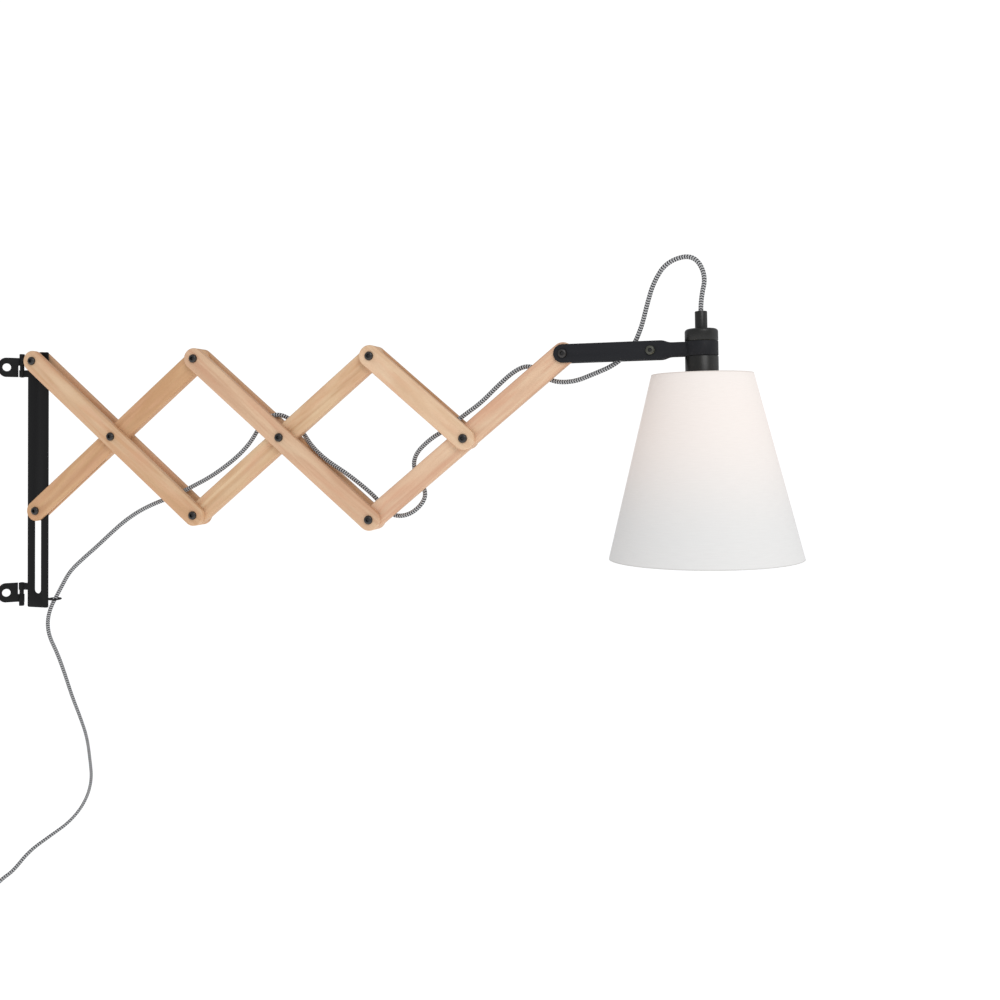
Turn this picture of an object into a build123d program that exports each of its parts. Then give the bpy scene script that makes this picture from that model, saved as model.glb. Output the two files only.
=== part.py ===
from build123d import *
from math import atan, cos, pi, radians, sin, tan
import os

# Wall lamp on a scissor arm of wooden slats, held off the wall on a swinging flat bar.
# Millimetres and degrees.  Origin: on the wall, midway between the two wall screws;
# +X runs along the wall towards the arm, -Y comes out of the wall, +Z is up.

os.makedirs("parts", exist_ok=True)

# ---------------------------------------------------------------- driving dimensions
# scissor lattice
half_span = 150          # pivot to pivot, half a long slat
lattice_angle = 40       # slope of the slats as drawn
slat_width = 26
mid_thick = 11           # single slats that run between the pairs
side_thick = 7           # front and rear slats of a pair
slat_gap = 0.3
slat_edge = 0.8          # eased edges
steepest_angle = 76      # slope of the slats with the lattice pushed home
fork_room = 5            # from the bar's edge to the end of the fork's slit, at the steepest slope
fork_play = 0.3          # slit to bar, each side

# pivot bolts and nuts
bolt_r = 3
pivot_play = 0.05
open_play = 0.3          # looser holes where the loops of slats close
head_r = 5.25
head_height = 3.3
head_rim = 0.9
key_flats = 4
key_depth = 2
nut_flats = 10
nut_height = 5
nut_bevel = 0.8
bolt_stick_out = 0.8

# flat bar that carries the lattice
bar_width = 30
bar_thick = 2
bar_above_pivot = 12
bar_below_pivot = 318
bar_corner = 2
slot_width = 10
slot_top_margin = 4      # slide travel kept above the resting place of the slide bush
slot_foot_margin = 4
bush_play = 0.2
spacer_r = 5.5

# hinge and wall ears
swing_angle = 40         # arm to wall
screw_pitch = 292        # the two wall screws
screw_hole_r = 5
ear_thick = 1.5
ear_height = 25
ear_left = 9.5           # beyond the screw hole's centre
ear_corner = 9
hinge_x = 18
barrel_r = 3.5
pin_r = 1.95
pin_play = 0.05
hinge_to_arm = 24.5
knuckle_length = 10
bar_barrel_length = 9
sleeve_length = 6
sleeve_r = 2.7
hinge_play = 0.2         # along the pin
ear_to_barrel = 0.8
pin_head_r = 3.25
pin_head_height = 5

# cord ring at the foot of the bar
ring_r = 7.5
ring_wire_r = 1
ring_reach = 10          # ring's centre from the edge of the bar
ring_up = 12             # ring above the foot of the bar

# head: forked strap
head_tilt = 1.3
strap_thick = 2.5
strap_height = 21
neck_height = 15.5
strap_straight = 109     # from the pivot to the start of the shoulders
neck_start = 123
lamp_axis = 154          # socket's axis from the pivot
clamp_at = 98.5
clamp_spacer_r = 5
leg_blend = 4

# head: socket
socket_r = 18.15
cap_height = 14
cap_edge = 3.5
cap_wall = 2.4
cap_top = 2.5
seat_play = 0.05
collar_wall = 1.8
collar_rise = 8          # socket's collar above the strap ring
body_drop = 30           # plain part of the socket below the strap ring
thread_r = 17
thread_drop = 24
socket_bore_r = 14.4
core_top = 16            # insulating core below the strap ring's middle
core_height = 9
shell_thick = 0.5
shell_height = 28
gland_r = 6.75
gland_height = 19.4
gland_tip_r = 5
gland_taper = 5
gland_thread_r = 4.9
contact_width = 6

# head: shade
shade_top_r = 55.3
shade_bottom_r = 105.8
shade_height = 203
shade_drop = 27.5        # top rim below the middle of the strap ring
shade_wall = 1.2
wire_r = 1.5
wire_play = 0.15
spider_ring_r = 20.5
spider_ring_thick = 2
spider_arms = 3
ring_nut_r = 22
ring_nut_height = 8
ring_nut_lugs = 8

# head: bulb
bulb_r = 30
bulb_widest = 110        # below the middle of the strap ring
bulb_neck_r = 14.2
bulb_neck = 62
glass_wall = 1
base_r = 13.1
base_wall = 0.8
base_grip = 3            # glass inside the base's lip
base_top = 30
base_contact_r = 5
base_shoulder = 3        # height of each step of the base's end
base_set_in = 2

# cord
cord_d = 5.5
cord_lead = 13           # straight run out of the gland
turn_pitch = 6           # between neighbouring turns and layers of the coil
coil_half_turns = 5      # each layer, besides the turn that climbs
coil_start_reach = 40    # coil's centre to the start of its first turn
last_turn_swell = 12     # the last turn stands off to reach the plug
tie_band = 1.2
tie_width = 8
tie_play = 0.3

# plug
plug_relief_length = 20
plug_relief_r = 4.5
plug_length = 36
plug_width = 35
plug_thick = 13.7
plug_shoulder = 13       # width where the body meets the relief
plug_taper_share = 0.55  # of the body's length
lower_pull = 8           # how far the taper's curve is drawn out at each end
upper_pull = 6
plug_pin_r = 2
plug_pin_length = 19
plug_pin_root_pitch = 18.6
plug_pin_tip_pitch = 17.5

# ---------------------------------------------------------------- worked-out places
run = half_span * cos(radians(lattice_angle))
rise = half_span * sin(radians(lattice_angle))
pair_inner = mid_thick / 2 + slat_gap
pair_outer = pair_inner + side_thick
hole_r = bolt_r + pivot_play
loose_hole_r = bolt_r + open_play

# pivots as (along the arm, up) from the bolt that holds the lattice to the bar
wall_top = (0, 0)
wall_slide = (0, -2 * rise)
cross_1 = (run, -rise)
top_1 = (2 * run, 0)
bottom_1 = (2 * run, -2 * rise)
cross_2 = (3 * run, -rise)
top_2 = (4 * run, 0)
bottom_2 = (4 * run, -2 * rise)
cross_3 = (5 * run, -rise)
arm_end = (6 * run, 0)

# plane of the arm: x along the arm, y up, z towards a viewer in front of the wall
along = Vector(cos(radians(swing_angle)), -sin(radians(swing_angle)), 0)
facing = Vector(-sin(radians(swing_angle)), -cos(radians(swing_angle)), 0)
hinge = Vector(hinge_x, -barrel_r, 0)
pivot_height = screw_pitch / 2 + ear_height / 2 - knuckle_length / 2
arm = Plane(origin=hinge + along * hinge_to_arm + Vector(0, 0, pivot_height), x_dir=along, z_dir=facing)

# plane of the head, a little nose-up from the arm
strap_dir = along * cos(radians(head_tilt)) + Vector(0, 0, sin(radians(head_tilt)))
head = Plane(origin=arm.from_local_coords((*arm_end, 0)), x_dir=strap_dir, z_dir=facing)
lamp = Plane(origin=head.from_local_coords((lamp_axis, 0, 0)), x_dir=head.x_dir, z_dir=head.z_dir)
lamp_line = Axis(lamp.origin, lamp.y_dir)


def bolt_plane(frame, place):
    """Plane through a bolt's axis: x out from the axis, y along it towards the viewer."""
    centre = frame.from_local_coords((*place, 0))
    return Plane(origin=centre, x_dir=frame.x_dir, z_dir=-frame.y_dir)


def save(piece, name):
    """Label a finished piece and write it to its own file."""
    piece.part.label = name
    export_step(piece.part, f"parts/{name}.step")


# ---------------------------------------------------------------- slats
def slat(start, end, depth, thick, holes):
    """A round-ended slat from pivot to pivot; holes are (distance from start, radius)."""
    origin = arm.from_local_coords((*start, depth))
    far = arm.from_local_coords((*end, depth))
    length = (far - origin).length
    with BuildPart() as wood:
        with BuildSketch(Plane(origin=origin, x_dir=far - origin, z_dir=facing)):
            with Locations((length / 2, 0)):
                SlotCenterToCenter(length, slat_width)
        extrude(amount=thick)
        faces = wood.faces().sort_by(Axis(origin, facing))
        chamfer(faces[0].edges() + faces[-1].edges(), length=slat_edge)
        with BuildSketch(Plane(origin=origin, x_dir=far - origin, z_dir=facing)):
            for distance, radius in holes:
                with Locations((distance, 0)):
                    Circle(radius)
        extrude(amount=thick, mode=Mode.SUBTRACT)
    return wood


full_span = 2 * half_span
tight_holes = [(0, hole_r), (half_span, hole_r), (full_span, hole_r)]

pairs = {
    "first_slat": (wall_top, bottom_1, tight_holes),
    "second_slat": (top_1, bottom_2, tight_holes),
    "short_slat": (top_2, cross_3, [(0, hole_r), (half_span, hole_r)]),
}
for name, (start, end, holes) in pairs.items():
    save(slat(start, end, pair_inner, side_thick, holes), f"{name}_front")
    save(slat(start, end, -pair_outer, side_thick, holes), f"{name}_rear")

riser_holes = [(0, hole_r), (half_span, hole_r), (full_span, loose_hole_r)]
save(slat(bottom_1, top_2, -mid_thick / 2, mid_thick, riser_holes), "middle_riser_slat")
save(slat(bottom_2, arm_end, -mid_thick / 2, mid_thick, tight_holes), "outer_riser_slat")

# The wall-side riser straddles the bar in a slit, deep enough for the steepest slope.
slit = bar_thick + 2 * fork_play
bar_edge_run = (bar_width / 2) / cos(radians(steepest_angle))
slit_depth = bar_edge_run + slat_width / 2 * tan(radians(steepest_angle)) + fork_room
wood = slat(wall_slide, top_1, -mid_thick / 2, mid_thick, riser_holes)
fork_start = arm.from_local_coords((*wall_slide, 0))
fork_dir = arm.from_local_coords((*top_1, 0)) - fork_start
with BuildPart() as forked:
    add(wood.part)
    with BuildSketch(Plane(origin=fork_start, x_dir=fork_dir, z_dir=facing)):
        with Locations(((slit_depth - slat_width) / 2, 0)):
            Rectangle(slit_depth + slat_width, 2 * slat_width)
    extrude(amount=slit / 2, both=True, mode=Mode.SUBTRACT)
save(forked, "wall_riser_slat")


# ---------------------------------------------------------------- bolts and nuts
def bolts(frame, places, reach):
    """Button-head bolts with a hexagon key hole; reach is the half thickness they clamp."""
    tip = -reach - nut_height - bolt_stick_out
    crown = reach + head_height
    with BuildPart() as screws:
        for place in places:
            plane = bolt_plane(frame, place)
            with BuildSketch(plane):
                with BuildLine():
                    Polyline((0, crown), (0, tip), (bolt_r - nut_bevel, tip), (bolt_r, tip + nut_bevel),
                             (bolt_r, reach), (head_r, reach), (head_r, reach + head_rim))
                    ThreePointArc((head_r, reach + head_rim), (head_r * 0.84, reach + head_height * 0.72),
                                  (head_r * 0.5, crown))
                    Line((head_r * 0.5, crown), (0, crown))
                make_face()
            revolve(axis=Axis(plane.origin, plane.y_dir))
            top = Plane(origin=plane.origin + plane.y_dir * crown, x_dir=frame.x_dir, z_dir=plane.y_dir)
            with BuildSketch(top):
                RegularPolygon(key_flats / 2, 6, major_radius=False)
            extrude(amount=-key_depth, mode=Mode.SUBTRACT)
    return screws


def nuts(frame, places, reach):
    """Hexagon nuts on the back, bevelled on their outer face."""
    with BuildPart() as blocks:
        for place in places:
            plane = bolt_plane(frame, place)
            seat = Plane(origin=plane.origin - plane.y_dir * reach, x_dir=frame.x_dir, z_dir=-plane.y_dir)
            with BuildSketch(seat):
                RegularPolygon(nut_flats / 2, 6, major_radius=False)
            extrude(amount=nut_height)
        seats = Axis(plane.origin, -facing)
        chamfer(blocks.faces().group_by(seats)[-1].edges(), length=nut_bevel)
        for place in places:
            plane = bolt_plane(frame, place)
            seat = Plane(origin=plane.origin - plane.y_dir * reach, x_dir=frame.x_dir, z_dir=-plane.y_dir)
            with BuildSketch(seat):
                Circle(hole_r)
            extrude(amount=nut_height, mode=Mode.SUBTRACT)
    return blocks


bolt_sets = {
    "first_slat": [wall_top, cross_1, bottom_1],
    "second_slat": [top_1, cross_2, bottom_2],
    "short_slat": [top_2, cross_3],
}
for name, places in bolt_sets.items():
    save(bolts(arm, places, pair_outer), f"{name}_bolts")
    save(nuts(arm, places, pair_outer), f"{name}_nuts")
save(bolts(arm, [wall_slide], mid_thick / 2), "slide_bolt")
save(nuts(arm, [wall_slide], mid_thick / 2), "slide_nut")

# ---------------------------------------------------------------- bar
foot = -bar_below_pivot
slot_top = -2 * rise + slot_top_margin
slot_foot = -full_span * sin(radians(steepest_angle)) - slot_foot_margin
upper_barrel_top = -knuckle_length / 2 - sleeve_length
lower_barrel_foot = knuckle_length + sleeve_length - (screw_pitch + ear_height) / 2 - pivot_height

with BuildPart() as bar:
    with BuildSketch(arm):
        with Locations((0, (bar_above_pivot + foot) / 2)):
            RectangleRounded(bar_width, bar_above_pivot - foot, bar_corner)
        for barrel_foot in (upper_barrel_top - bar_barrel_length, lower_barrel_foot):
            with Locations((-hinge_to_arm, barrel_foot)):
                Rectangle(hinge_to_arm - bar_width / 4, bar_barrel_length, align=Align.MIN)
        Circle(hole_r, mode=Mode.SUBTRACT)
        with Locations((0, (slot_top + slot_foot) / 2)):
            SlotCenterToCenter(slot_top - slot_foot, slot_width, rotation=90, mode=Mode.SUBTRACT)
    extrude(amount=bar_thick / 2, both=True)
    for barrel_foot in (upper_barrel_top - bar_barrel_length, lower_barrel_foot):
        base = Plane.XY.offset(pivot_height + barrel_foot)
        with BuildSketch(base):
            with Locations((hinge_x, -barrel_r)):
                Circle(barrel_r)
        extrude(amount=bar_barrel_length)
        with BuildSketch(base):
            with Locations((hinge_x, -barrel_r)):
                Circle(pin_r + pin_play)
        extrude(amount=bar_barrel_length, mode=Mode.SUBTRACT)
save(bar, "slotted_bar")

# Two washers keep the first pair of slats off the bar.
with BuildPart() as washers:
    for side in (1, -1):
        with BuildSketch(arm.offset(side * bar_thick / 2)):
            Circle(spacer_r)
            Circle(hole_r, mode=Mode.SUBTRACT)
        extrude(amount=side * (pair_inner - slat_gap - bar_thick / 2))
save(washers, "bar_washers")

# The bush on the slide bolt runs in the bar's slot.
with BuildPart() as bush:
    with BuildSketch(arm):
        with Locations(wall_slide):
            Circle(slot_width / 2 - bush_play)
            Circle(hole_r, mode=Mode.SUBTRACT)
    extrude(amount=bar_thick / 2 + fork_play / 2, both=True)
save(bush, "slide_bush")

ring_place = (bar_width / 2 + ring_reach, foot + ring_up)
ring_centre = arm.from_local_coords((*ring_place, 0))
with BuildPart() as ring:
    with BuildSketch(Plane(origin=ring_centre, x_dir=along, z_dir=facing)):
        with Locations((ring_r, 0)):
            Circle(ring_wire_r)
    revolve(axis=Axis(ring_centre, (0, 0, 1)))
    with BuildSketch(Plane(origin=ring_centre - along * ring_reach, x_dir=facing, z_dir=along)):
        Circle(ring_wire_r)
    extrude(amount=ring_reach - ring_r)
save(ring, "cord_ring")


# ---------------------------------------------------------------- wall ears and hinge
def wall_ear(side):
    """Sheet ear with a rolled knuckle at its outer end; side is 1 for the upper one."""
    middle_z = side * screw_pitch / 2
    outer_z = middle_z + side * ear_height / 2
    inner_z = outer_z - side * knuckle_length
    stop_x = hinge_x - barrel_r - ear_to_barrel
    edge_z = outer_z - side * ear_height
    with BuildPart() as ear:
        with BuildSketch(Plane.XZ):
            with BuildLine():
                outline = Polyline((hinge_x, outer_z), (-ear_left, outer_z), (-ear_left, edge_z),
                                   (stop_x, edge_z), (stop_x, inner_z), (hinge_x, inner_z), close=True)
            make_face()
            fillet(outline.vertices().sort_by(Axis.X)[0:2], radius=ear_corner)
            with Locations((0, middle_z)):
                Circle(screw_hole_r, mode=Mode.SUBTRACT)
        extrude(amount=ear_thick)
        with BuildSketch(Plane.XY.offset(min(inner_z, outer_z))):
            with Locations((hinge_x, -barrel_r)):
                Circle(barrel_r)
        extrude(amount=knuckle_length)
        with BuildSketch(Plane.XY.offset(min(inner_z, outer_z))):
            with Locations((hinge_x, -barrel_r)):
                Circle(pin_r + pin_play)
        extrude(amount=knuckle_length, mode=Mode.SUBTRACT)
    return ear


def hinge_pin(side):
    """Headed pin, entered from the outer end of its knuckle."""
    outer_z = side * (screw_pitch + ear_height) / 2
    reach = knuckle_length + sleeve_length + bar_barrel_length + pin_r / 4
    with BuildPart() as pin:
        with BuildSketch(Plane(origin=(hinge_x, -barrel_r, outer_z), z_dir=(0, 0, side))):
            Circle(pin_head_r)
        extrude(amount=pin_head_height)
        chamfer(pin.faces().sort_by(Axis(pin.part.center(), (0, 0, side)))[-1].edges(), length=pin_r / 4)
        with BuildSketch(Plane(origin=(hinge_x, -barrel_r, outer_z), z_dir=(0, 0, -side))):
            Circle(pin_r)
        extrude(amount=reach)
    return pin


def sleeve(side):
    """Spacer on the pin, between the ear's knuckle and the bar's barrel."""
    knuckle_end = side * (screw_pitch / 2 + ear_height / 2 - knuckle_length)
    with BuildPart() as tube:
        with BuildSketch(Plane(origin=(hinge_x, -barrel_r, knuckle_end), z_dir=(0, 0, -side))):
            Circle(sleeve_r)
            Circle(pin_r + pin_play, mode=Mode.SUBTRACT)
        extrude(amount=sleeve_length - hinge_play)
    return tube


for name, side in {"upper": 1, "lower": -1}.items():
    save(wall_ear(side), f"{name}_wall_ear")
    save(hinge_pin(side), f"{name}_hinge_pin")
    save(sleeve(side), f"{name}_hinge_sleeve")

# ---------------------------------------------------------------- head strap
leg_inner = pair_inner
leg_outer = leg_inner + strap_thick
ring_inner_r = socket_r - strap_thick
throat = (socket_r ** 2 - leg_outer ** 2) ** 0.5
half_height = strap_height / 2
neck_half = neck_height / 2
shoulder = (strap_straight + neck_start) / 2
beyond = lamp_axis + 2 * socket_r
strap_plan = Plane(origin=lamp.origin, x_dir=head.x_dir, z_dir=head.y_dir)
with BuildPart() as strap:
    with BuildSketch(strap_plan) as plan:
        Circle(socket_r)
        for side in (1, -1):
            with Locations((-lamp_axis / 2 - strap_height / 4, side * (leg_inner + leg_outer) / 2)):
                Rectangle(lamp_axis + strap_height / 2, strap_thick)
        throats = [plan.vertices().sort_by_distance((-throat, side * leg_outer, 0))[0] for side in (1, -1)]
        fillet(throats, radius=leg_blend)
        Circle(ring_inner_r, mode=Mode.SUBTRACT)
        with Locations((-lamp_axis / 2, 0)):
            Rectangle(lamp_axis + strap_height, 2 * leg_inner, mode=Mode.SUBTRACT)
    extrude(amount=strap_height / 2, both=True)
    with BuildSketch(head):
        with BuildLine():
            Line((0, half_height), (strap_straight, half_height))
            Bezier((strap_straight, half_height), (shoulder, half_height), (shoulder, neck_half),
                   (neck_start, neck_half))
            Line((neck_start, neck_half), (beyond, neck_half))
            Line((beyond, neck_half), (beyond, -neck_half))
            Line((beyond, -neck_half), (neck_start, -neck_half))
            Bezier((neck_start, -neck_half), (shoulder, -neck_half), (shoulder, -half_height),
                   (strap_straight, -half_height))
            Line((strap_straight, -half_height), (0, -half_height))
            ThreePointArc((0, -half_height), (-half_height, 0), (0, half_height))
        make_face()
    extrude(amount=2 * socket_r, both=True, mode=Mode.INTERSECT)
    for place in (0, clamp_at):
        with BuildSketch(head):
            with Locations((place, 0)):
                Circle(hole_r)
        extrude(amount=leg_outer, both=True, mode=Mode.SUBTRACT)
save(strap, "head_strap")

save(bolts(head, [(0, 0)], leg_outer), "head_pivot_bolt")
save(nuts(head, [(0, 0)], leg_outer), "head_pivot_nut")
save(bolts(head, [(clamp_at, 0)], leg_outer), "clamp_bolt")
save(nuts(head, [(clamp_at, 0)], leg_outer), "clamp_nut")

with BuildPart() as spacer:
    with BuildSketch(head):
        with Locations((clamp_at, 0)):
            Circle(clamp_spacer_r)
            Circle(hole_r, mode=Mode.SUBTRACT)
    extrude(amount=leg_inner, both=True)
save(spacer, "clamp_spacer")


# ---------------------------------------------------------------- socket
def turned(points):
    """Turn a closed profile of (radius, height) points about the lamp's axis."""
    with BuildPart() as piece:
        with BuildSketch(lamp):
            with BuildLine():
                Polyline(*points, close=True)
            make_face()
        revolve(axis=lamp_line)
    return piece


strap_ring_half = neck_height / 2
cap_foot = strap_ring_half
cap_head = cap_foot + cap_height
stub_r = gland_thread_r + seat_play
cavity_r = socket_r - cap_wall
cap = turned([(stub_r, cap_head), (socket_r, cap_head), (socket_r, cap_foot), (cavity_r, cap_foot),
              (cavity_r, cap_head - cap_top), (stub_r, cap_head - cap_top)])
with BuildPart() as cap_piece:
    add(cap.part)
    rim = cap_piece.edges().filter_by(GeomType.CIRCLE).group_by(Axis(lamp.origin, lamp.y_dir))[-1]
    fillet(rim.sort_by(SortBy.RADIUS)[-1], radius=cap_edge)
save(cap_piece, "socket_cap")

body_top = -strap_ring_half
body_step = body_top - body_drop
body_foot = body_step - thread_drop
collar_r = ring_inner_r - seat_play
collar_inner_r = collar_r - collar_wall
collar_top = strap_ring_half + collar_rise
bore_top = body_top - strap_thick
socket_body = turned([(collar_inner_r, collar_top), (collar_r, collar_top), (collar_r, body_top),
                      (socket_r, body_top), (socket_r, body_step), (thread_r, body_step),
                      (thread_r, body_foot), (socket_bore_r, body_foot),
                      (socket_bore_r, bore_top), (collar_inner_r, bore_top)])
save(socket_body, "socket_body")

core = turned([(0, -core_top), (socket_bore_r - seat_play, -core_top),
               (socket_bore_r - seat_play, -core_top - core_height), (0, -core_top - core_height)])
save(core, "socket_core")

shell_outer_r = socket_bore_r - seat_play
shell_inner_r = shell_outer_r - shell_thick
shell_top = -core_top - core_height
shell_foot = shell_top - shell_height
shell = turned([(shell_inner_r, shell_top), (shell_outer_r, shell_top),
                (shell_outer_r, shell_foot), (shell_inner_r, shell_foot)])
save(shell, "thread_shell")

# A bent spring tongue under the core touches the centre of the bulb's base.
tongue_flat = shell_top - shell_thick / 2
tongue_dip = -base_top + shell_thick
with BuildPart() as tongue:
    with BuildSketch(lamp):
        with BuildLine():
            Polyline((-contact_width, tongue_flat), (-contact_width / 2, tongue_flat),
                     (contact_width / 4, tongue_dip), (contact_width * 0.8, (tongue_flat + tongue_dip) / 2))
        trace(line_width=shell_thick)
    extrude(amount=contact_width / 2, both=True)
save(tongue, "centre_contact")

gland_foot = cap_head - cap_top - seat_play
gland_top = cap_head + gland_height
gland = turned([(0, gland_foot), (gland_thread_r, gland_foot), (gland_thread_r, cap_head),
                (gland_r, cap_head), (gland_r, gland_top - gland_taper), (gland_tip_r, gland_top),
                (0, gland_top)])
save(gland, "cord_gland")

# ---------------------------------------------------------------- shade and its carrier
shade_top = -shade_drop
shade_foot = shade_top - shade_height
shade_slope = (shade_bottom_r - shade_top_r) / shade_height
shade_lean = atan(shade_slope)
wall_out = shade_wall / cos(shade_lean)
shade = turned([(shade_top_r - wall_out, shade_top), (shade_top_r, shade_top),
                (shade_bottom_r, shade_foot), (shade_bottom_r - wall_out, shade_foot)])
save(shade, "lampshade")


def wire_hoop_radius(height):
    """Radius of a wire hoop that lies just inside the shade at a height."""
    wall_inner = shade_top_r - wall_out + (shade_top - height) * shade_slope
    return wall_inner - (wire_r + wire_play) / cos(shade_lean)


def hoop(height):
    """Wire hoop inside the shade."""
    with BuildPart() as wire:
        with BuildSketch(lamp):
            with Locations((wire_hoop_radius(height), height)):
                Circle(wire_r)
        revolve(axis=lamp_line)
    return wire


spider_height = shade_top - wire_r
clamp_height = body_step - spider_ring_thick
clamp_centre = lamp.origin + lamp.y_dir * clamp_height
clamp_plane = Plane(origin=clamp_centre, x_dir=lamp.x_dir, z_dir=lamp.y_dir)
top_hoop = hoop(spider_height)
with BuildPart() as spider:
    add(top_hoop.part)
    with BuildSketch(clamp_plane):
        Circle(spider_ring_r)
    extrude(amount=spider_ring_thick)
    for turn in range(spider_arms):
        angle = 2 * pi / spider_arms * (turn + 0.5)
        outward = lamp.x_dir * cos(angle) + lamp.z_dir * sin(angle)
        arm_plane = Plane(origin=lamp.origin, x_dir=outward, z_dir=outward.cross(lamp.y_dir))
        with BuildLine(arm_plane) as arm_path:
            FilletPolyline((spider_ring_r - wire_r, clamp_height + wire_r),
                           (spider_ring_r + 3 * wire_r, clamp_height + wire_r),
                           (wire_hoop_radius(spider_height) - 4 * wire_r, spider_height),
                           (wire_hoop_radius(spider_height), spider_height), radius=3 * wire_r)
        with BuildSketch(Plane(origin=arm_path.wire() @ 0, z_dir=arm_path.wire() % 0)):
            Circle(wire_r)
        sweep(path=arm_path.wire())
    with BuildSketch(clamp_plane):
        Circle(thread_r + seat_play)
    extrude(amount=spider_ring_thick, mode=Mode.SUBTRACT)
save(spider, "shade_carrier")

save(hoop(shade_foot + wire_r), "bottom_hoop")

with BuildPart() as ring_nut:
    with BuildSketch(Plane(origin=clamp_centre, x_dir=lamp.x_dir, z_dir=-lamp.y_dir)):
        Circle(ring_nut_r)
        with PolarLocations(ring_nut_r, ring_nut_lugs):
            Circle(spider_ring_thick, mode=Mode.SUBTRACT)
        Circle(thread_r + seat_play, mode=Mode.SUBTRACT)
    extrude(amount=ring_nut_height)
save(ring_nut, "shade_ring_nut")

# ---------------------------------------------------------------- bulb
base_foot = -bulb_neck + base_grip
base_inner_r = base_r - base_wall
base_cone = -base_top - base_shoulder
base_edge = base_cone - base_shoulder
base = turned([(0, -base_top), (base_contact_r, -base_top), (base_r - base_set_in, base_cone),
               (base_r, base_edge), (base_r, base_foot), (base_inner_r, base_foot),
               (base_inner_r, base_edge - base_wall), (base_inner_r - base_set_in, base_cone - base_wall),
               (0, base_cone - base_wall)])
save(base, "bulb_base")

with BuildPart() as glass:
    for inset, mode in ((0, Mode.ADD), (glass_wall, Mode.SUBTRACT)):
        neck_r = bulb_neck_r - inset
        round_r = bulb_r - inset
        eighth = round_r * sin(radians(45))
        tip = -bulb_widest - round_r
        with BuildSketch(lamp):
            with BuildLine():
                Polyline((0, tip), (0, base_foot), (neck_r, base_foot), (neck_r, -bulb_neck))
                Spline((neck_r, -bulb_neck), (round_r, -bulb_widest), tangents=[(0, -1), (0, -1)])
                ThreePointArc((round_r, -bulb_widest), (eighth, -bulb_widest - eighth), (0, tip))
            make_face()
        revolve(axis=lamp_line, mode=mode)
save(glass, "bulb_glass")

# ---------------------------------------------------------------- cord
# Chosen points of the cord's route.  In the arm's plane: along the arm, up, towards the viewer.
gland_exit = lamp.origin + lamp.y_dir * gland_top
gland_lead = lamp.origin + lamp.y_dir * (gland_top + cord_lead)
head_loop_points = [
    (848, 84.6, 0), (834, 107.8, 0), (805.5, 101, 0), (790.9, 79, 0),
    (783.6, 53.9, 0), (777.6, 28.5, 0), (767.2, 4.4, 0),
]
outer_span_points = [
    (747.7, -13.3, -0.4), (723.6, -22.9, -4), (699.2, -31.9, -7.6), (673, -31, -9),
    (662, -18.5, -9.3), (645.5, -11.5, -8.5), (629, -19.5, -6.2), (611, -37, -0.8),
    (593.1, -55, 0.3), (571.7, -70, -0.2), (550.4, -86.3, 0.3), (529.4, -98.2, -1.4),
    (508, -118, -8), (509.5, -140, -9.3), (527, -163.3, -8.9), (507.4, -186.7, -9),
    (481.2, -190.7, -9.1), (463.2, -169.8, -8.5),
]
middle_span_points = [
    (444.8, -152.9, -3.6), (423.9, -137.2, -0.1), (401.4, -123.9, 0.2), (381.3, -107.7, -2.6),
    (364.6, -89.1, -10.8), (350, -74, -10.5), (335, -67, -2), (318, -75.5, 1.5), (303.5, -99.1, -0.6),
    (287.3, -117.1, 0.2), (265.6, -133.6, -0.1),
]
inner_span_points = [
    (244.1, -147.2, 0), (220.4, -158.7, 0), (197.2, -170.5, 0), (172.4, -178.8, 0),
    (148.7, -189.4, 0), (126.5, -203.3, 0), (106.4, -219.8, 0), (86.6, -236.9, 0),
    (66.3, -253.1, 0), (46.5, -270.5, 0), (33.3, -293.1, 0),
]
# From the ring down: along the wall, out of the wall, up.
tail_points = [
    (48.5, -35.3, -168.1), (47, -40.2, -194.1), (59.3, -41.3, -222.9), (68, -42.3, -250),
    (76.1, -43, -278), (85.8, -44, -305.6), (94.4, -43.3, -333.3), (98.1, -41.9, -362.3),
    (100.9, -40.8, -391.4), (93.1, -38.3, -419.5), (75.3, -35.5, -442.9), (50.9, -33.1, -458.8),
    (26.3, -31.6, -474.7), (8.2, -29.3, -497.5), (-5, -27.5, -506), (-24, -25, -525), (-37, -21, -543),
    (-40, -20, -560),
]
coil_centre = Vector(-80, -20, -580)


def in_arm(points):
    """Route points of the arm's plane, in the lamp's own frame."""
    return [arm.from_local_coords(point) for point in points]


def tube(points, name):
    """Limp tube of straight runs and tangent arcs, each as large as its two runs allow."""
    points = [Vector(point) for point in points]
    runs = [(after - before).length for before, after in zip(points, points[1:])]
    bends = []
    for corner in range(1, len(points) - 1):
        inward = points[corner] - points[corner - 1]
        outward = points[corner + 1] - points[corner]
        turn = inward.get_angle(outward)
        bends.append(0.45 * min(runs[corner - 1], runs[corner]) / tan(radians(turn / 2)))
    with BuildPart() as hose:
        with BuildLine() as path:
            FilletPolyline(*points, radius=bends)
        line = path.wire()
        with BuildSketch(Plane(origin=line @ 0, z_dir=line % 0)):
            Circle(cord_d / 2)
        sweep(path=line)
    length = line.length
    solid = pi * (cord_d / 2) ** 2 * length
    print(f"{name}: length {length:.1f}, radii {min(bends):.1f} to {max(bends):.0f},",
          f"volume over section x length {hose.part.volume / solid:.4f}")
    print("   radii", [round(bend, 1) for bend in bends])
    return hose, length


def between(first, second):
    """Point halfway between two route points, where one span hands over to the next."""
    return (Vector(first) + Vector(second)) * 0.5


head_loop = in_arm(head_loop_points)
outer_span = in_arm(outer_span_points)
middle_span = in_arm(middle_span_points)
inner_span = in_arm(inner_span_points)
tail = [Vector(point) for point in tail_points]

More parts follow.
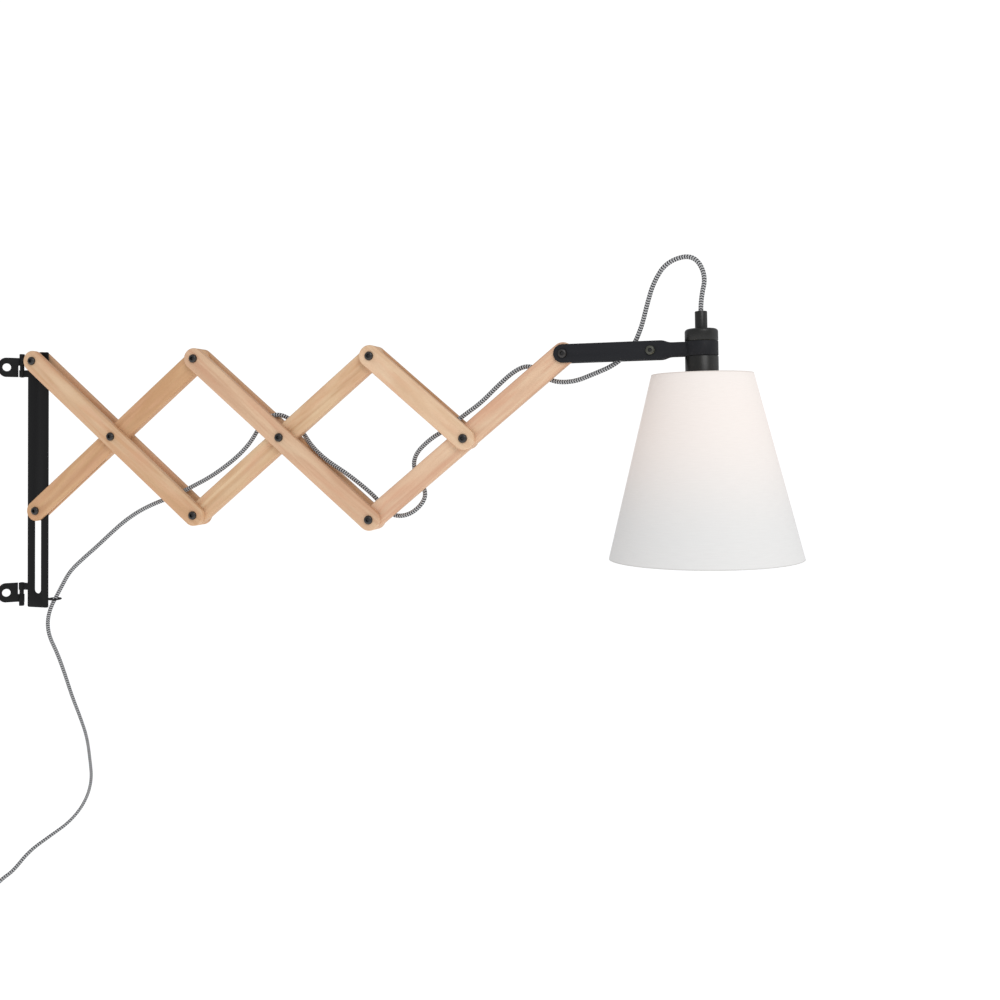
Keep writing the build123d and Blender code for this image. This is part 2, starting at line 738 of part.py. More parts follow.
head_to_outer = between(head_loop[-1], outer_span[0])
outer_to_middle = between(outer_span[-1], middle_span[0])
middle_to_inner = between(middle_span[-1], inner_span[0])
inner_to_tail = between(inner_span[-1], tail[0])

coil_start = coil_centre + Vector(coil_start_reach, 0, cord_d)
spans = {
    "cord_head_loop": [gland_exit, gland_lead, *head_loop, head_to_outer],
    "cord_outer_span": [head_to_outer, *outer_span, outer_to_middle],
    "cord_middle_span": [outer_to_middle, *middle_span, middle_to_inner],
    "cord_inner_span": [middle_to_inner, *inner_span, inner_to_tail],
    "cord_tail": [inner_to_tail, *tail, coil_start],
}
shown_length = 0
for name, points in spans.items():
    hose, length = tube(points, name)
    save(hose, name)
    shown_length += length

# ---------------------------------------------------------------- coil
# Half turns spiral in on the front layer, climb to the rear layer at the inside, and spiral out.
coil_plane = Plane(origin=coil_centre, x_dir=(1, 0, 0), z_dir=(0, -1, 0))
step = turn_pitch / 2
first_turn_r = coil_start_reach - step / 2
inner_turn_r = first_turn_r - coil_half_turns * step
half_turn_radii = [first_turn_r - half * step for half in range(coil_half_turns)]
half_turn_radii += [inner_turn_r] + half_turn_radii[::-1]
half_turn_radii[-1] += last_turn_swell / 2


def on_coil(across, up, back):
    """Point of the coil: across and up from its centre, back towards the wall."""
    return coil_plane.from_local_coords((across, up, -back))


across = coil_start_reach
back = 0
with BuildPart() as coil:
    with BuildLine() as winding:
        Line(on_coil(across, cord_d, back), on_coil(across, 0, back))
        for half, radius in enumerate(half_turn_radii):
            side = -1 if half % 2 == 0 else 1
            start = on_coil(across, 0, back)
            across += 2 * radius * side
            if half == coil_half_turns:
                back = turn_pitch
                end = on_coil(across, 0, back)
                crest = (start + end) * 0.5 + Vector(0, 0, (end - start).length / 2)
                TangentArc(start, crest, tangent=(0, 0, 1))
                TangentArc(crest, end, tangent=end - start)
            else:
                crest = on_coil(across - radius * side, radius * side, back)
                ThreePointArc(start, crest, on_coil(across, 0, back))
        coil_end = on_coil(across, cord_d, back)
        Line(on_coil(across, 0, back), coil_end)
    turns = winding.wire()
    with BuildSketch(Plane(origin=turns @ 0, z_dir=turns % 0)):
        Circle(cord_d / 2)
    sweep(path=turns)
save(coil, "cord_coil")

# Least gap of the coil to itself, on points two millimetres apart.
samples = [turns @ (k / int(turns.length / 2)) for k in range(int(turns.length / 2) + 1)]
apart = int(2 * cord_d)
nearest = min((samples[i] - samples[k]).length for i in range(len(samples))
              for k in range(i + apart, len(samples)))
print(f"cord_coil: length {turns.length:.1f}, least gap {nearest - cord_d:.2f},",
      f"tightest radius {inner_turn_r:.1f}")
print(f"cord: shown {shown_length:.0f}, in all {shown_length + turns.length:.0f}")

# ---------------------------------------------------------------- coil tie
upper_turn_r = first_turn_r - step
sag = inner_turn_r - (inner_turn_r ** 2 - (tie_width / 2) ** 2) ** 0.5
tie_low = inner_turn_r - cord_d / 2 - sag - tie_play
tie_high = upper_turn_r + cord_d / 2 + tie_play
tie_deep = turn_pitch + cord_d + 2 * tie_play
tie_plane = Plane(origin=coil_centre + Vector(-step / 2, 0, 0), x_dir=(0, 1, 0), z_dir=(1, 0, 0))
with BuildPart() as tie:
    with BuildSketch(tie_plane):
        with Locations((turn_pitch / 2, (tie_low + tie_high) / 2)):
            RectangleRounded(tie_deep + 2 * tie_band, tie_high - tie_low + 2 * tie_band,
                             cord_d / 2 + tie_band)
            RectangleRounded(tie_deep, tie_high - tie_low, cord_d / 2, mode=Mode.SUBTRACT)
    extrude(amount=tie_width / 2, both=True)
save(tie, "coil_tie")

# ---------------------------------------------------------------- plug
plug_entry = coil_end
plug_plane = Plane(origin=plug_entry, x_dir=(1, 0, 0), z_dir=(0, -1, 0))
face_up = plug_relief_length + plug_length
relief_top = plug_relief_length + plug_relief_r
shoulder_up = plug_relief_length + plug_length * plug_taper_share
with BuildPart() as plug:
    with BuildSketch(plug_plane):
        with BuildLine():
            Polyline((0, 0), (cord_d * 0.6, 0), (plug_relief_r, plug_relief_length),
                     (plug_relief_r, relief_top), (0, relief_top), close=True)
        make_face()
    revolve(axis=Axis(plug_entry, (0, 0, 1)))
    with BuildSketch(plug_plane):
        with BuildLine():
            Line((0, plug_relief_length), (plug_shoulder / 2, plug_relief_length))
            Bezier((plug_shoulder / 2, plug_relief_length), (plug_shoulder / 2, shoulder_up - lower_pull),
                   (plug_width / 2, shoulder_up - upper_pull), (plug_width / 2, shoulder_up))
            Line((plug_width / 2, shoulder_up), (plug_width / 2, face_up))
            Line((plug_width / 2, face_up), (0, face_up))
            mirror(about=Plane.YZ)
        make_face()
    extrude(amount=plug_thick / 2, both=True)
    fillet(plug.faces().filter_by(Axis.Y).edges(), radius=plug_thick / 6)
save(plug, "plug_body")

with BuildPart() as pins:
    for side in (1, -1):
        for up, pitch in ((face_up, plug_pin_root_pitch), (face_up + plug_pin_length, plug_pin_tip_pitch)):
            with BuildSketch(Plane(origin=plug_entry + Vector(side * pitch / 2, 0, up), x_dir=(1, 0, 0))):
                Circle(plug_pin_r)
        loft()
    fillet(pins.faces().group_by(Axis.Z)[-1].edges(), radius=plug_pin_r * 0.6)
save(pins, "plug_pins")
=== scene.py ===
# Wall lamp on a scissor arm of beech slats, with a black steel bar, a forked strap, a fabric shade
# and a two-colour textile cord.  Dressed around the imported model; metres, +Z up, wall at Y = 0.
from math import cos, pi, radians, sin

import bmesh
import bpy
import numpy as np
from mathutils import Matrix, Vector


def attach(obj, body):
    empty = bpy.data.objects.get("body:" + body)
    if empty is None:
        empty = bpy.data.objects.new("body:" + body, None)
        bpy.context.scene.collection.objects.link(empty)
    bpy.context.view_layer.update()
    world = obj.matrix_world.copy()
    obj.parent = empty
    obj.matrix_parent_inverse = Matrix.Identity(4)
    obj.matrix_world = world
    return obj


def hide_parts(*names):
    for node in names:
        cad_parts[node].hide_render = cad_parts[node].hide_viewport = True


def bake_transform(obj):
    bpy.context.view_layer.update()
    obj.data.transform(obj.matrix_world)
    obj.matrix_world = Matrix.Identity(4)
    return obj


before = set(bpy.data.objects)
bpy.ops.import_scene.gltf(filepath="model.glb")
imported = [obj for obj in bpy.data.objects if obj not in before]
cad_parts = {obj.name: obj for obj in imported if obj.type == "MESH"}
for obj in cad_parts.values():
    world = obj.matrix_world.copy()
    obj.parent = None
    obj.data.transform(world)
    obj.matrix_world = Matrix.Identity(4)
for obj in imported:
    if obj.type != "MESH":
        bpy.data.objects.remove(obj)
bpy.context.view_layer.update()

# ------------------------------------------------------------------ camera
# The lamp is seen from a little left of the arm's middle, level with its upper slats.  The three
# directions and the lens were fitted to the pivots, the bar and the shade.
camera_right = Vector((0.897804, -0.440381, 0.00356))
camera_up = Vector((-0.001811, 0.004391, 0.999989))
camera_back = Vector((-0.440392, -0.8978, 0.003145))
camera_place = (-0.01746, -1.48671, 0.06565)
camera_data = bpy.data.cameras.new("camera")
camera_data.lens = 37.308
camera_data.sensor_width = 36
camera_data.shift_y = -0.0656
camera_data.clip_start = 0.01
camera = bpy.data.objects.new("camera", camera_data)
camera_turn = Matrix((camera_right, camera_up, camera_back)).transposed().to_4x4()
camera.matrix_world = Matrix.Translation(camera_place) @ camera_turn
bpy.context.collection.objects.link(camera)
bpy.context.scene.camera = camera
bpy.context.scene.view_settings.view_transform = "Standard"

# ------------------------------------------------------------------ floor and light
# A white studio: a pale floor far below the lamp, even light from all round, one large soft light
# above the camera that draws the edges, and a weak one from its right.


def linear(hex_colour):
    """An sRGB hex colour as linear red, green, blue and 1."""
    parts = [int(hex_colour[k:k + 2], 16) / 255 for k in (1, 3, 5)]
    return (*[p / 12.92 if p <= 0.04045 else ((p + 0.055) / 1.055) ** 2.4 for p in parts], 1.0)


def add_node(tree, kind, inputs=None, **settings):
    """Adds a node.  Its inputs, by name or number, are values, sockets, or nodes to link from."""
    made = tree.nodes.new(kind)
    for name, value in settings.items():
        setattr(made, name, value)
    for name, value in (inputs or {}).items():
        if isinstance(value, bpy.types.Node):
            value = value.outputs[0]
        if isinstance(value, bpy.types.NodeSocket):
            tree.links.new(value, made.inputs[name])
        else:
            made.inputs[name].default_value = value
    return made


def finish_named(name):
    """A new material, its tree, and in it where each point of the piece is."""
    material = bpy.data.materials.new(name)
    material.use_nodes = True
    tree = material.node_tree
    tree.nodes.clear()
    return material, tree, add_node(tree, "ShaderNodeTexCoord").outputs["Object"]


def close_finish(tree, look):
    """Ends a finish with its surface and shows it on the piece."""
    surface = add_node(tree, "ShaderNodeBsdfPrincipled", look)
    add_node(tree, "ShaderNodeOutputMaterial", {"Surface": surface})


# Matt white paint that glows a little, so that the floor runs into the white around it.
floor_finish, tree, where = finish_named("matt_white_floor")
close_finish(tree, {"Base Color": linear("#f4f4f3"), "Roughness": 0.9,
                    "Emission Color": linear("#ffffff"), "Emission Strength": 0.55})
floor_mesh = bpy.data.meshes.new("floor")
floor_half, floor_level = 9.0, -1.1
floor_mesh.from_pydata([(x * floor_half, y * floor_half, floor_level)
                        for x, y in ((-1, -1), (1, -1), (1, 1), (-1, 1))], [], [(0, 1, 2, 3)])
floor_mesh.materials.append(floor_finish)
floor = bpy.data.objects.new("floor", floor_mesh)
bpy.context.collection.objects.link(floor)

world = bpy.data.worlds.new("studio")
bpy.context.scene.world = world
world.use_nodes = True
tree = world.node_tree
tree.nodes.clear()
seen = add_node(tree, "ShaderNodeBackground", {"Color": linear("#ffffff"), "Strength": 1.05})
lit = add_node(tree, "ShaderNodeBackground", {"Color": linear("#fbfcff"), "Strength": 0.58})
path = add_node(tree, "ShaderNodeLightPath")
mixed = add_node(tree, "ShaderNodeMixShader", {0: path.outputs["Is Camera Ray"], 1: lit, 2: seen})
add_node(tree, "ShaderNodeOutputWorld", {"Surface": mixed})

for name, place, aim, side, watts in (
        ("key_light", (0.15, -2.6, 1.6), (0.35, -0.25, 0.0), 1.4, 23),
        ("fill_light", (2.2, -1.7, 0.7), (0.45, -0.4, 0.0), 1.6, 3.5)):
    light = bpy.data.lights.new(name, "AREA")
    light.shape = "SQUARE"
    light.size = side
    light.energy = watts
    light_object = bpy.data.objects.new(name, light)
    light_object.location = place
    aimed_at = Vector(aim) - Vector(place)
    light_object.rotation_euler = aimed_at.to_track_quat("-Z", "Y").to_euler()
    bpy.context.collection.objects.link(light_object)

# ------------------------------------------------------------------ textile cord
# One mains cord of 2.8 m, two cores in a braided cover of black and white yarn, a little flat.
# It leaves the gland, loops through the strap, runs loosely along the arm, drops through the wire
# ring and hangs beside the wall; the length that is over is wound into a tied coil with the plug.
mm = 0.001
swing = radians(40)
along = Vector((cos(swing), -sin(swing), 0))
facing = Vector((-sin(swing), -cos(swing), 0))
up = Vector((0, 0, 1))
top_pivot = Vector((18, -3.5, 153.5)) * mm + along * 24.5 * mm


def in_arm(x, y, z=0):
    """A point of the arm's plane, in mm along it, up from its top pivot and towards the viewer."""
    return top_pivot + (along * x + up * y + facing * z) * mm


# Half a slat from pivot to pivot is 150 mm, and the slats slope 40 degrees.
half_run, half_rise = 150 * cos(radians(40)), 150 * sin(radians(40))
strap_tilt = radians(1.3)
strap_along = along * cos(strap_tilt) + up * sin(strap_tilt)
lamp_up = up * cos(strap_tilt) - along * sin(strap_tilt)
strap_length = 154
lamp_centre = in_arm(6 * half_run, 0) + strap_along * strap_length * mm
gland_top, gland_lead = 41.15, 13

# The visible run, in mm in the arm's plane, from the lamp to the ring at the foot of the bar.
head_loop = [(848, 84.6, 0), (834, 107.8, 0), (805.5, 101, 0), (790.9, 79, 0), (783.6, 53.9, 0),
             (777.6, 28.5, 0), (767.2, 4.4, 0)]
outer_span = [(747.7, -13.3, -0.4), (723.6, -22.9, -4), (699.2, -31.9, -7.6), (673, -31, -9),
              (662, -18.5, -9.3), (645.5, -11.5, -8.5), (629, -19.5, -6.2), (611, -37, -0.8),
              (593.1, -55, 0.3), (571.7, -70, -0.2), (550.4, -86.3, 0.3), (529.4, -98.2, -1.4),
              (508, -118, -8), (509.5, -140, -9.3), (527, -163.3, -8.9), (507.4, -186.7, -9),
              (481.2, -190.7, -9.1), (463.2, -169.8, -8.5)]
middle_span = [(444.8, -152.9, -3.6), (423.9, -137.2, -0.1), (401.4, -123.9, 0.2),
               (381.3, -107.7, -2.6), (364.6, -89.1, -10.8), (350, -74, -10.5), (335, -67, -2),
               (318, -75.5, 1.5), (303.5, -99.1, -0.6), (287.3, -117.1, 0.2), (265.6, -133.6, -0.1)]
inner_span = [(244.1, -147.2, 0), (220.4, -158.7, 0), (197.2, -170.5, 0), (172.4, -178.8, 0),
              (148.7, -189.4, 0), (126.5, -203.3, 0), (106.4, -219.8, 0), (86.6, -236.9, 0),
              (66.3, -253.1, 0), (46.5, -270.5, 0), (33.3, -293.1, 0)]
# The tail below the ring, in mm of the room.
tail = [(48.5, -35.3, -168.1), (47, -40.2, -194.1), (59.3, -41.3, -222.9), (68, -42.3, -250),
        (76.1, -43, -278), (85.8, -44, -305.6), (94.4, -43.3, -333.3), (98.1, -41.9, -362.3),
        (100.9, -40.8, -391.4), (93.1, -38.3, -419.5), (75.3, -35.5, -442.9), (50.9, -33.1, -458.8),
        (26.3, -31.6, -474.7), (8.2, -29.3, -497.5), (-5, -27.5, -506), (-24, -25, -525),
        (-37, -21, -543), (-40, -20, -560), (-40, -20, -574.5)]

# The coil: eleven half turns, five on the front layer, one that climbs, five behind it.
coil_centre = (-80, -20, -580)
half_turns = [38.5, 35.5, 32.5, 29.5, 26.5, 23.5, 26.5, 29.5, 32.5, 35.5, 44.5]
climbing_half, layer_back, points_per_half = 5, 6, 6
# The spline cuts the corners between its control points, so these stand a little further out.
outset = 2 ** 0.5 / (1 + cos(pi / points_per_half)) ** 0.5
coil = []
coil_edge = 40
for half, radius in enumerate(half_turns):
    side = 1 if half % 2 == 0 else -1
    middle = coil_edge - side * radius
    for step in range(points_per_half):
        share = (step + 0.5) / points_per_half
        climb = share if half == climbing_half else float(half > climbing_half)
        coil.append((coil_centre[0] + middle + side * radius * outset * cos(pi * share),
                     coil_centre[1] + layer_back * climb,
                     coil_centre[2] - side * radius * outset * sin(pi * share)))
    coil_edge = middle - side * radius
plug_entry = Vector((-135, -14, -574.5)) * mm

route = [lamp_centre + lamp_up * h * mm for h in (gland_top, gland_top + gland_lead)]
route += [in_arm(*p) for p in head_loop + outer_span + middle_span + inner_span]
route += [Vector(p) * mm for p in tail + coil] + [plug_entry]

route_curve = bpy.data.curves.new("cord_route", "CURVE")
route_curve.dimensions = "3D"
route_curve.resolution_u = 16
route_spline = route_curve.splines.new("NURBS")
route_spline.points.add(len(route) - 1)
for knot, place in zip(route_spline.points, route):
    knot.co = (*place, 1)
route_spline.order_u = 3
route_spline.use_endpoint_u = True
route_holder = bpy.data.objects.new("cord_route", route_curve)
route_mesh = bpy.data.meshes.new_from_object(route_holder)
cord_line = np.array([v.co for v in route_mesh.vertices])
bpy.data.objects.remove(route_holder)
bpy.data.curves.remove(route_curve)
bpy.data.meshes.remove(route_mesh)
same_place = 1e-7
steps = np.linalg.norm(np.diff(cord_line, axis=0), axis=1)
cord_line = cord_line[np.concatenate([[True], steps > same_place])]
steps = np.linalg.norm(np.diff(cord_line, axis=0), axis=1)
cord_run = np.concatenate([[0], np.cumsum(steps)])


def away_from(place):
    """How far each point of the cord's line is from a place."""
    return np.linalg.norm(cord_line - np.array(place), axis=1)


cord_diameter, cord_width, cord_thick = 5.5 * mm, 5.3 * mm, 4.0 * mm
cord_sides = 28
ring_index = int(away_from(in_arm(25, -306)).argmin())
coil_index = int(away_from(Vector((-40, -20, -562)) * mm).argmin())


def flat_ways(index):
    """The directions of the cord's width and thickness at one point of its line."""
    before, after = cord_line[max(index - 1, 0)], cord_line[min(index + 1, len(cord_line) - 1)]
    forward = Vector(after - before).normalized()
    fallen = min(max((index - ring_index) / (coil_index - ring_index), 0), 1)
    seen_from = facing.lerp(Vector((0, -1, 0)), fallen)
    across = forward.cross(seen_from).normalized()
    # The hanging tail has half a twist in it.
    twist = Matrix.Rotation(pi * fallen * fallen * (3 - 2 * fallen), 3, forward)
    return twist @ across, twist @ across.cross(forward)


# Braided cotton over two cores: dull and soft, black and white yarns that show as small chevrons
# and stand out a little; one black and one white pair take 2.8 mm of cord.
cord_finish, tree, where = finish_named("braided_black_and_white_cotton")
chevron_pitch, chevrons_round, chevron_slant = 2.8 * mm, 4.0, 0.7
uv = add_node(tree, "ShaderNodeUVMap", uv_map="cord_uv")
split = add_node(tree, "ShaderNodeSeparateXYZ", {0: uv})
round_count = add_node(tree, "ShaderNodeMath", {0: split, 1: chevrons_round}, operation="MULTIPLY")
zigzag = add_node(tree, "ShaderNodeMath", {0: round_count, 1: 0.5}, operation="PINGPONG")
slant = add_node(tree, "ShaderNodeMath", {0: zigzag, 1: chevron_slant}, operation="MULTIPLY")
pitch_count = add_node(tree, "ShaderNodeMath", {0: split.outputs[1], 1: 1 / chevron_pitch},
                       operation="MULTIPLY")
phase = add_node(tree, "ShaderNodeMath", {0: pitch_count, 1: slant}, operation="ADD")
yarn = add_node(tree, "ShaderNodeMath", {0: phase, 1: 0.5}, operation="PINGPONG")
white_share = add_node(tree, "ShaderNodeMapRange", {0: yarn, 1: 0.22, 2: 0.28},
                       interpolation_type="SMOOTHSTEP")
fibre = add_node(tree, "ShaderNodeTexNoise", {"Vector": where, "Scale": 1400.0, "Detail": 2.0})
white_yarn = add_node(tree, "ShaderNodeMix", {
    0: fibre, 6: linear("#a0a1a3"), 7: linear("#d2d2d2")}, data_type="RGBA")
black_yarn = add_node(tree, "ShaderNodeMix", {
    0: fibre, 6: linear("#0e0f10"), 7: linear("#26272b")}, data_type="RGBA")
cover = add_node(tree, "ShaderNodeMix", {
    0: white_share, 6: black_yarn.outputs[2], 7: white_yarn.outputs[2]}, data_type="RGBA")
ply = add_node(tree, "ShaderNodeMath", {0: phase, 1: 2.0}, operation="MULTIPLY")
ply_wave = add_node(tree, "ShaderNodeMath", {0: ply, 1: 0.5}, operation="PINGPONG")
relief = add_node(tree, "ShaderNodeBump", {
    "Height": ply_wave, "Distance": 0.35 * mm, "Strength": 0.8})
close_finish(tree, {"Base Color": cover.outputs[2], "Roughness": 0.88, "Specular IOR Level": 0.25,
                    "Sheen Weight": 0.25, "Normal": relief})


def cord_piece(name, first, last, replaced):
    """A closed tube of the cord between two points of its line."""
    verts, faces, uvs = [], [], []
    for index in range(first, last + 1):
        width_way, thick_way = flat_ways(index)
        for k in range(cord_sides):
            turn = 2 * pi * k / cord_sides
            verts.append(Vector(cord_line[index]) + width_way * cos(turn) * cord_width / 2
                         + thick_way * sin(turn) * cord_thick / 2)
    for ring in range(last - first):
        here, there = cord_run[first + ring], cord_run[first + ring + 1]
        for k in range(cord_sides):
            after = (k + 1) % cord_sides
            a, b = ring * cord_sides, (ring + 1) * cord_sides
            faces.append((a + k, a + after, b + after, b + k))
            u0, u1 = k / cord_sides, (k + 1) / cord_sides
            uvs += [(u0, here), (u1, here), (u1, there), (u0, there)]
    faces.append(tuple(reversed(range(cord_sides))))
    faces.append(tuple(range((last - first) * cord_sides, (last - first + 1) * cord_sides)))
    uvs += [(k / cord_sides, cord_run[first]) for k in reversed(range(cord_sides))]
    uvs += [(k / cord_sides, cord_run[last]) for k in range(cord_sides)]
    mesh = bpy.data.meshes.new(name)
    mesh.from_pydata([tuple(v) for v in verts], [], faces)
    layer = mesh.uv_layers.new(name="cord_uv")
    for loop, value in zip(layer.data, uvs):
        loop.uv = value
    for polygon in mesh.polygons:
        polygon.use_smooth = len(polygon.vertices) == 4
    mesh.materials.append(cord_finish)
    mesh.validate()
    piece = bpy.data.objects.new(name, mesh)
    bpy.context.collection.objects.link(piece)
    bm = bmesh.new()
    bm.from_mesh(mesh)
    bmesh.ops.recalc_face_normals(bm, faces=bm.faces)
    bm.to_mesh(mesh)
    bm.free()
    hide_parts(*replaced)
    return piece


# Each stretch: its far end, the body it leaves and the one it reaches, where it bends between the
# two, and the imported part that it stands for.
stretches = [
    ("cord_over_the_strap", (662, -18.5), "head", "outer_riser",
     (757, -5), (672, -31), ["cord_head_loop"]),
    ("cord_behind_the_riser", (555, -82), "outer_riser", "short_slat",
     (640, -14), (570, -71), ["cord_outer_span"]),
    ("cord_outer_hang", (472, -179), "short_slat", "outer_riser",
     (535, -95), (512, -140), ["cord_outer_span"]),
    ("cord_second_climb", (320, -76), "outer_riser", "second_slat",
     (463, -170), (425, -138), ["cord_middle_span"]),
    ("cord_middle_hang", (257, -140), "second_slat", "middle_riser",
     (312, -85), (268, -132), ["cord_middle_span"]),
    ("cord_first_climb", (195, -171), "middle_riser", "first_slat",
     (255, -141), (205, -166), ["cord_inner_span"]),
    ("cord_inner_run", (25, -306), "first_slat", "bracket",
     (185, -176), (40, -282), ["cord_inner_span"]),
]
first = 0
for name, end, body, next_body, bend_start, bend_end, replaced in stretches:
    away = away_from(in_arm(*end))
    away[:first + 2] = 1  # only what lies ahead counts
    last = int(away.argmin())
    piece = cord_piece(name, first, last, replaced)
    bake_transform(piece)
    first = last
cord_tail = cord_piece("cord_hanging_tail", first, coil_index, ["cord_tail"])
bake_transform(cord_tail)
cord_coil = cord_piece("cord_wound_coil", coil_index, len(cord_line) - 1, ["cord_coil"])
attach(cord_coil, "wall_ears")

# ------------------------------------------------------------------ plug and coil tie
# A flat two-pin plug of moulded black rubber with bright pins, and a band of hook-and-loop tape
# that holds the coil together.

# Moulded rubber: dark and dull, with a faint grain 1 mm across.
plug_finish, tree, where = finish_named("moulded_black_rubber")
grain = add_node(tree, "ShaderNodeTexNoise", {"Vector": where, "Scale": 900.0})
relief = add_node(tree, "ShaderNodeBump", {"Height": grain, "Distance": 0.05 * mm, "Strength": 0.4})
close_finish(tree, {"Base Color": linear("#1c1c1d"), "Roughness": 0.55, "Specular IOR Level": 0.4,
                    "Normal": relief})
# Nickel plate over brass: bright, with dull patches where it has been handled.
pin_finish, tree, where = finish_named("nickel_plated_brass")
wear = add_node(tree, "ShaderNodeTexNoise", {"Vector": where, "Scale": 260.0, "Detail": 4.0})
rough = add_node(tree, "ShaderNodeMapRange", {0: wear, 3: 0.18, 4: 0.34})
close_finish(tree, {"Base Color": linear("#c9c6bf"), "Metallic": 1.0, "Roughness": rough})
# Woven nylon tape: black and fuzzy; its loops are 0.4 mm across and are drawn at 0.9 mm to show.
tie_finish, tree, where = finish_named("woven_black_tape")
weave = add_node(tree, "ShaderNodeTexVoronoi", {"Vector": where, "Scale": 1100.0})
fuzz = add_node(tree, "ShaderNodeMix", {
    0: weave.outputs["Distance"], 6: linear("#101011"), 7: linear("#2a2a2c")}, data_type="RGBA")
relief = add_node(tree, "ShaderNodeBump", {
    "Height": weave.outputs["Distance"], "Distance": 0.2 * mm, "Strength": 0.7})
close_finish(tree, {"Base Color": fuzz.outputs[2], "Roughness": 0.95, "Sheen Weight": 0.4,
                    "Normal": relief})


def make_plain(holder, name):
    """Turns what an object's modifiers make into its own plain mesh."""
    bpy.context.view_layer.update()
    depsgraph = bpy.context.evaluated_depsgraph_get()
    source = holder.data
    finished = bpy.data.meshes.new_from_object(holder.evaluated_get(depsgraph))
    holder.modifiers.clear()
    holder.data = finished
    bpy.data.meshes.remove(source)
    finished.name = name


def eased_copy(node, name, finish, body, width, angle=32, segments=3):
    """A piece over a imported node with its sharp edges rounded; its faces are joined again first."""
    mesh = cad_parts[node].data.copy()
    bm = bmesh.new()
    bm.from_mesh(mesh)
    bmesh.ops.remove_doubles(bm, verts=bm.verts, dist=1e-6)
    bmesh.ops.dissolve_limit(bm, angle_limit=radians(0.4), verts=bm.verts, edges=bm.edges)
    for face in bm.faces:
        face.smooth = True
    bm.to_mesh(mesh)
    bm.free()
    mesh.materials.clear()
    mesh.materials.append(finish)
    piece = bpy.data.objects.new(name, mesh)
    bpy.context.collection.objects.link(piece)
    bevel = piece.modifiers.new("edges", "BEVEL")
    bevel.width = width * mm
    bevel.segments = segments
    bevel.limit_method = "ANGLE"
    bevel.angle_limit = radians(angle)
    bevel.harden_normals = True
    make_plain(piece, name)
    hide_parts(node)
    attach(piece, body)
    return piece


def dress(node, finish):
    """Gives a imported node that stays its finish."""
    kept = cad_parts[node]
    kept.data.materials.clear()
    kept.data.materials.append(finish)
    return kept


plug_body = dress("plug_body", plug_finish)
plug_pins = dress("plug_pins", pin_finish)
coil_tie = eased_copy("coil_tie", "hook_and_loop_tie", tie_finish, "wall_ears", 0.25)

# ------------------------------------------------------------------ wall ears, hinge pins, bar
# Mild steel sheet and a flat bar, cut, rolled and powder coated black; turned pins and sleeves join
# the bar's barrels to the ears' knuckles, and a wire ring at the bar's foot holds the cord.


def steel_coat(name, colour, roughness, specular=0.22, shaded_key=False):
    """Coated steel: dry and dark, its sheen uneven, with an orange peel that catches the light."""
    finish, tree, where = finish_named(name)
    # Real orange peel is about 0.3 mm across; it is drawn at 0.8 mm so that it shows.
    peel = add_node(tree, "ShaderNodeTexNoise", {"Vector": where, "Scale": 1250.0, "Detail": 1.0})
    cloud = add_node(tree, "ShaderNodeTexNoise", {"Vector": where, "Scale": 14.0, "Detail": 3.0})
    rough = add_node(tree, "ShaderNodeMapRange", {
        0: cloud, 3: roughness - 0.06, 4: roughness + 0.08})
    relief = add_node(tree, "ShaderNodeBump", {
        "Height": peel, "Distance": 0.06 * mm, "Strength": 0.35})
    base = linear(colour)
    if shaded_key:
        # Painted shade: the hexagon of a bolt's key is coloured nearly black.
        key = add_node(tree, "ShaderNodeAttribute", attribute_name="in_key")
        painted_shade_mix = add_node(tree, "ShaderNodeMix", {
            0: key.outputs["Fac"], 6: base, 7: linear("#020202")}, data_type="RGBA")
        base = painted_shade_mix.outputs[2]
    close_finish(tree, {"Base Color": base, "Roughness": rough,
                        "Specular IOR Level": specular, "Normal": relief})
    return finish


bar_coat = steel_coat("black_powder_coat", "#0a0a0b", 0.5)
for node in ("upper_wall_ear", "lower_wall_ear"):
    eased_copy(node, node + "_sheet", bar_coat, "wall_ears", 0.35)
eased_copy("slotted_bar", "slotted_flat_bar", bar_coat, "bracket", 0.3)
dress("cord_ring", bar_coat)
pin_coat = steel_coat("black_oxide", "#111113", 0.36)
for node in ("upper_hinge_pin", "lower_hinge_pin", "upper_hinge_sleeve", "lower_hinge_sleeve"):
    eased_copy(node, node + "_turned", pin_coat, "wall_ears", 0.3)
dress("bar_washers", pin_coat)

# ------------------------------------------------------------------ slats
# Sawn and planed beech, sanded, its edges eased, oiled.  Pairs of thin slats hold single thicker
# ones between them; the one at the wall is slit to straddle the bar.


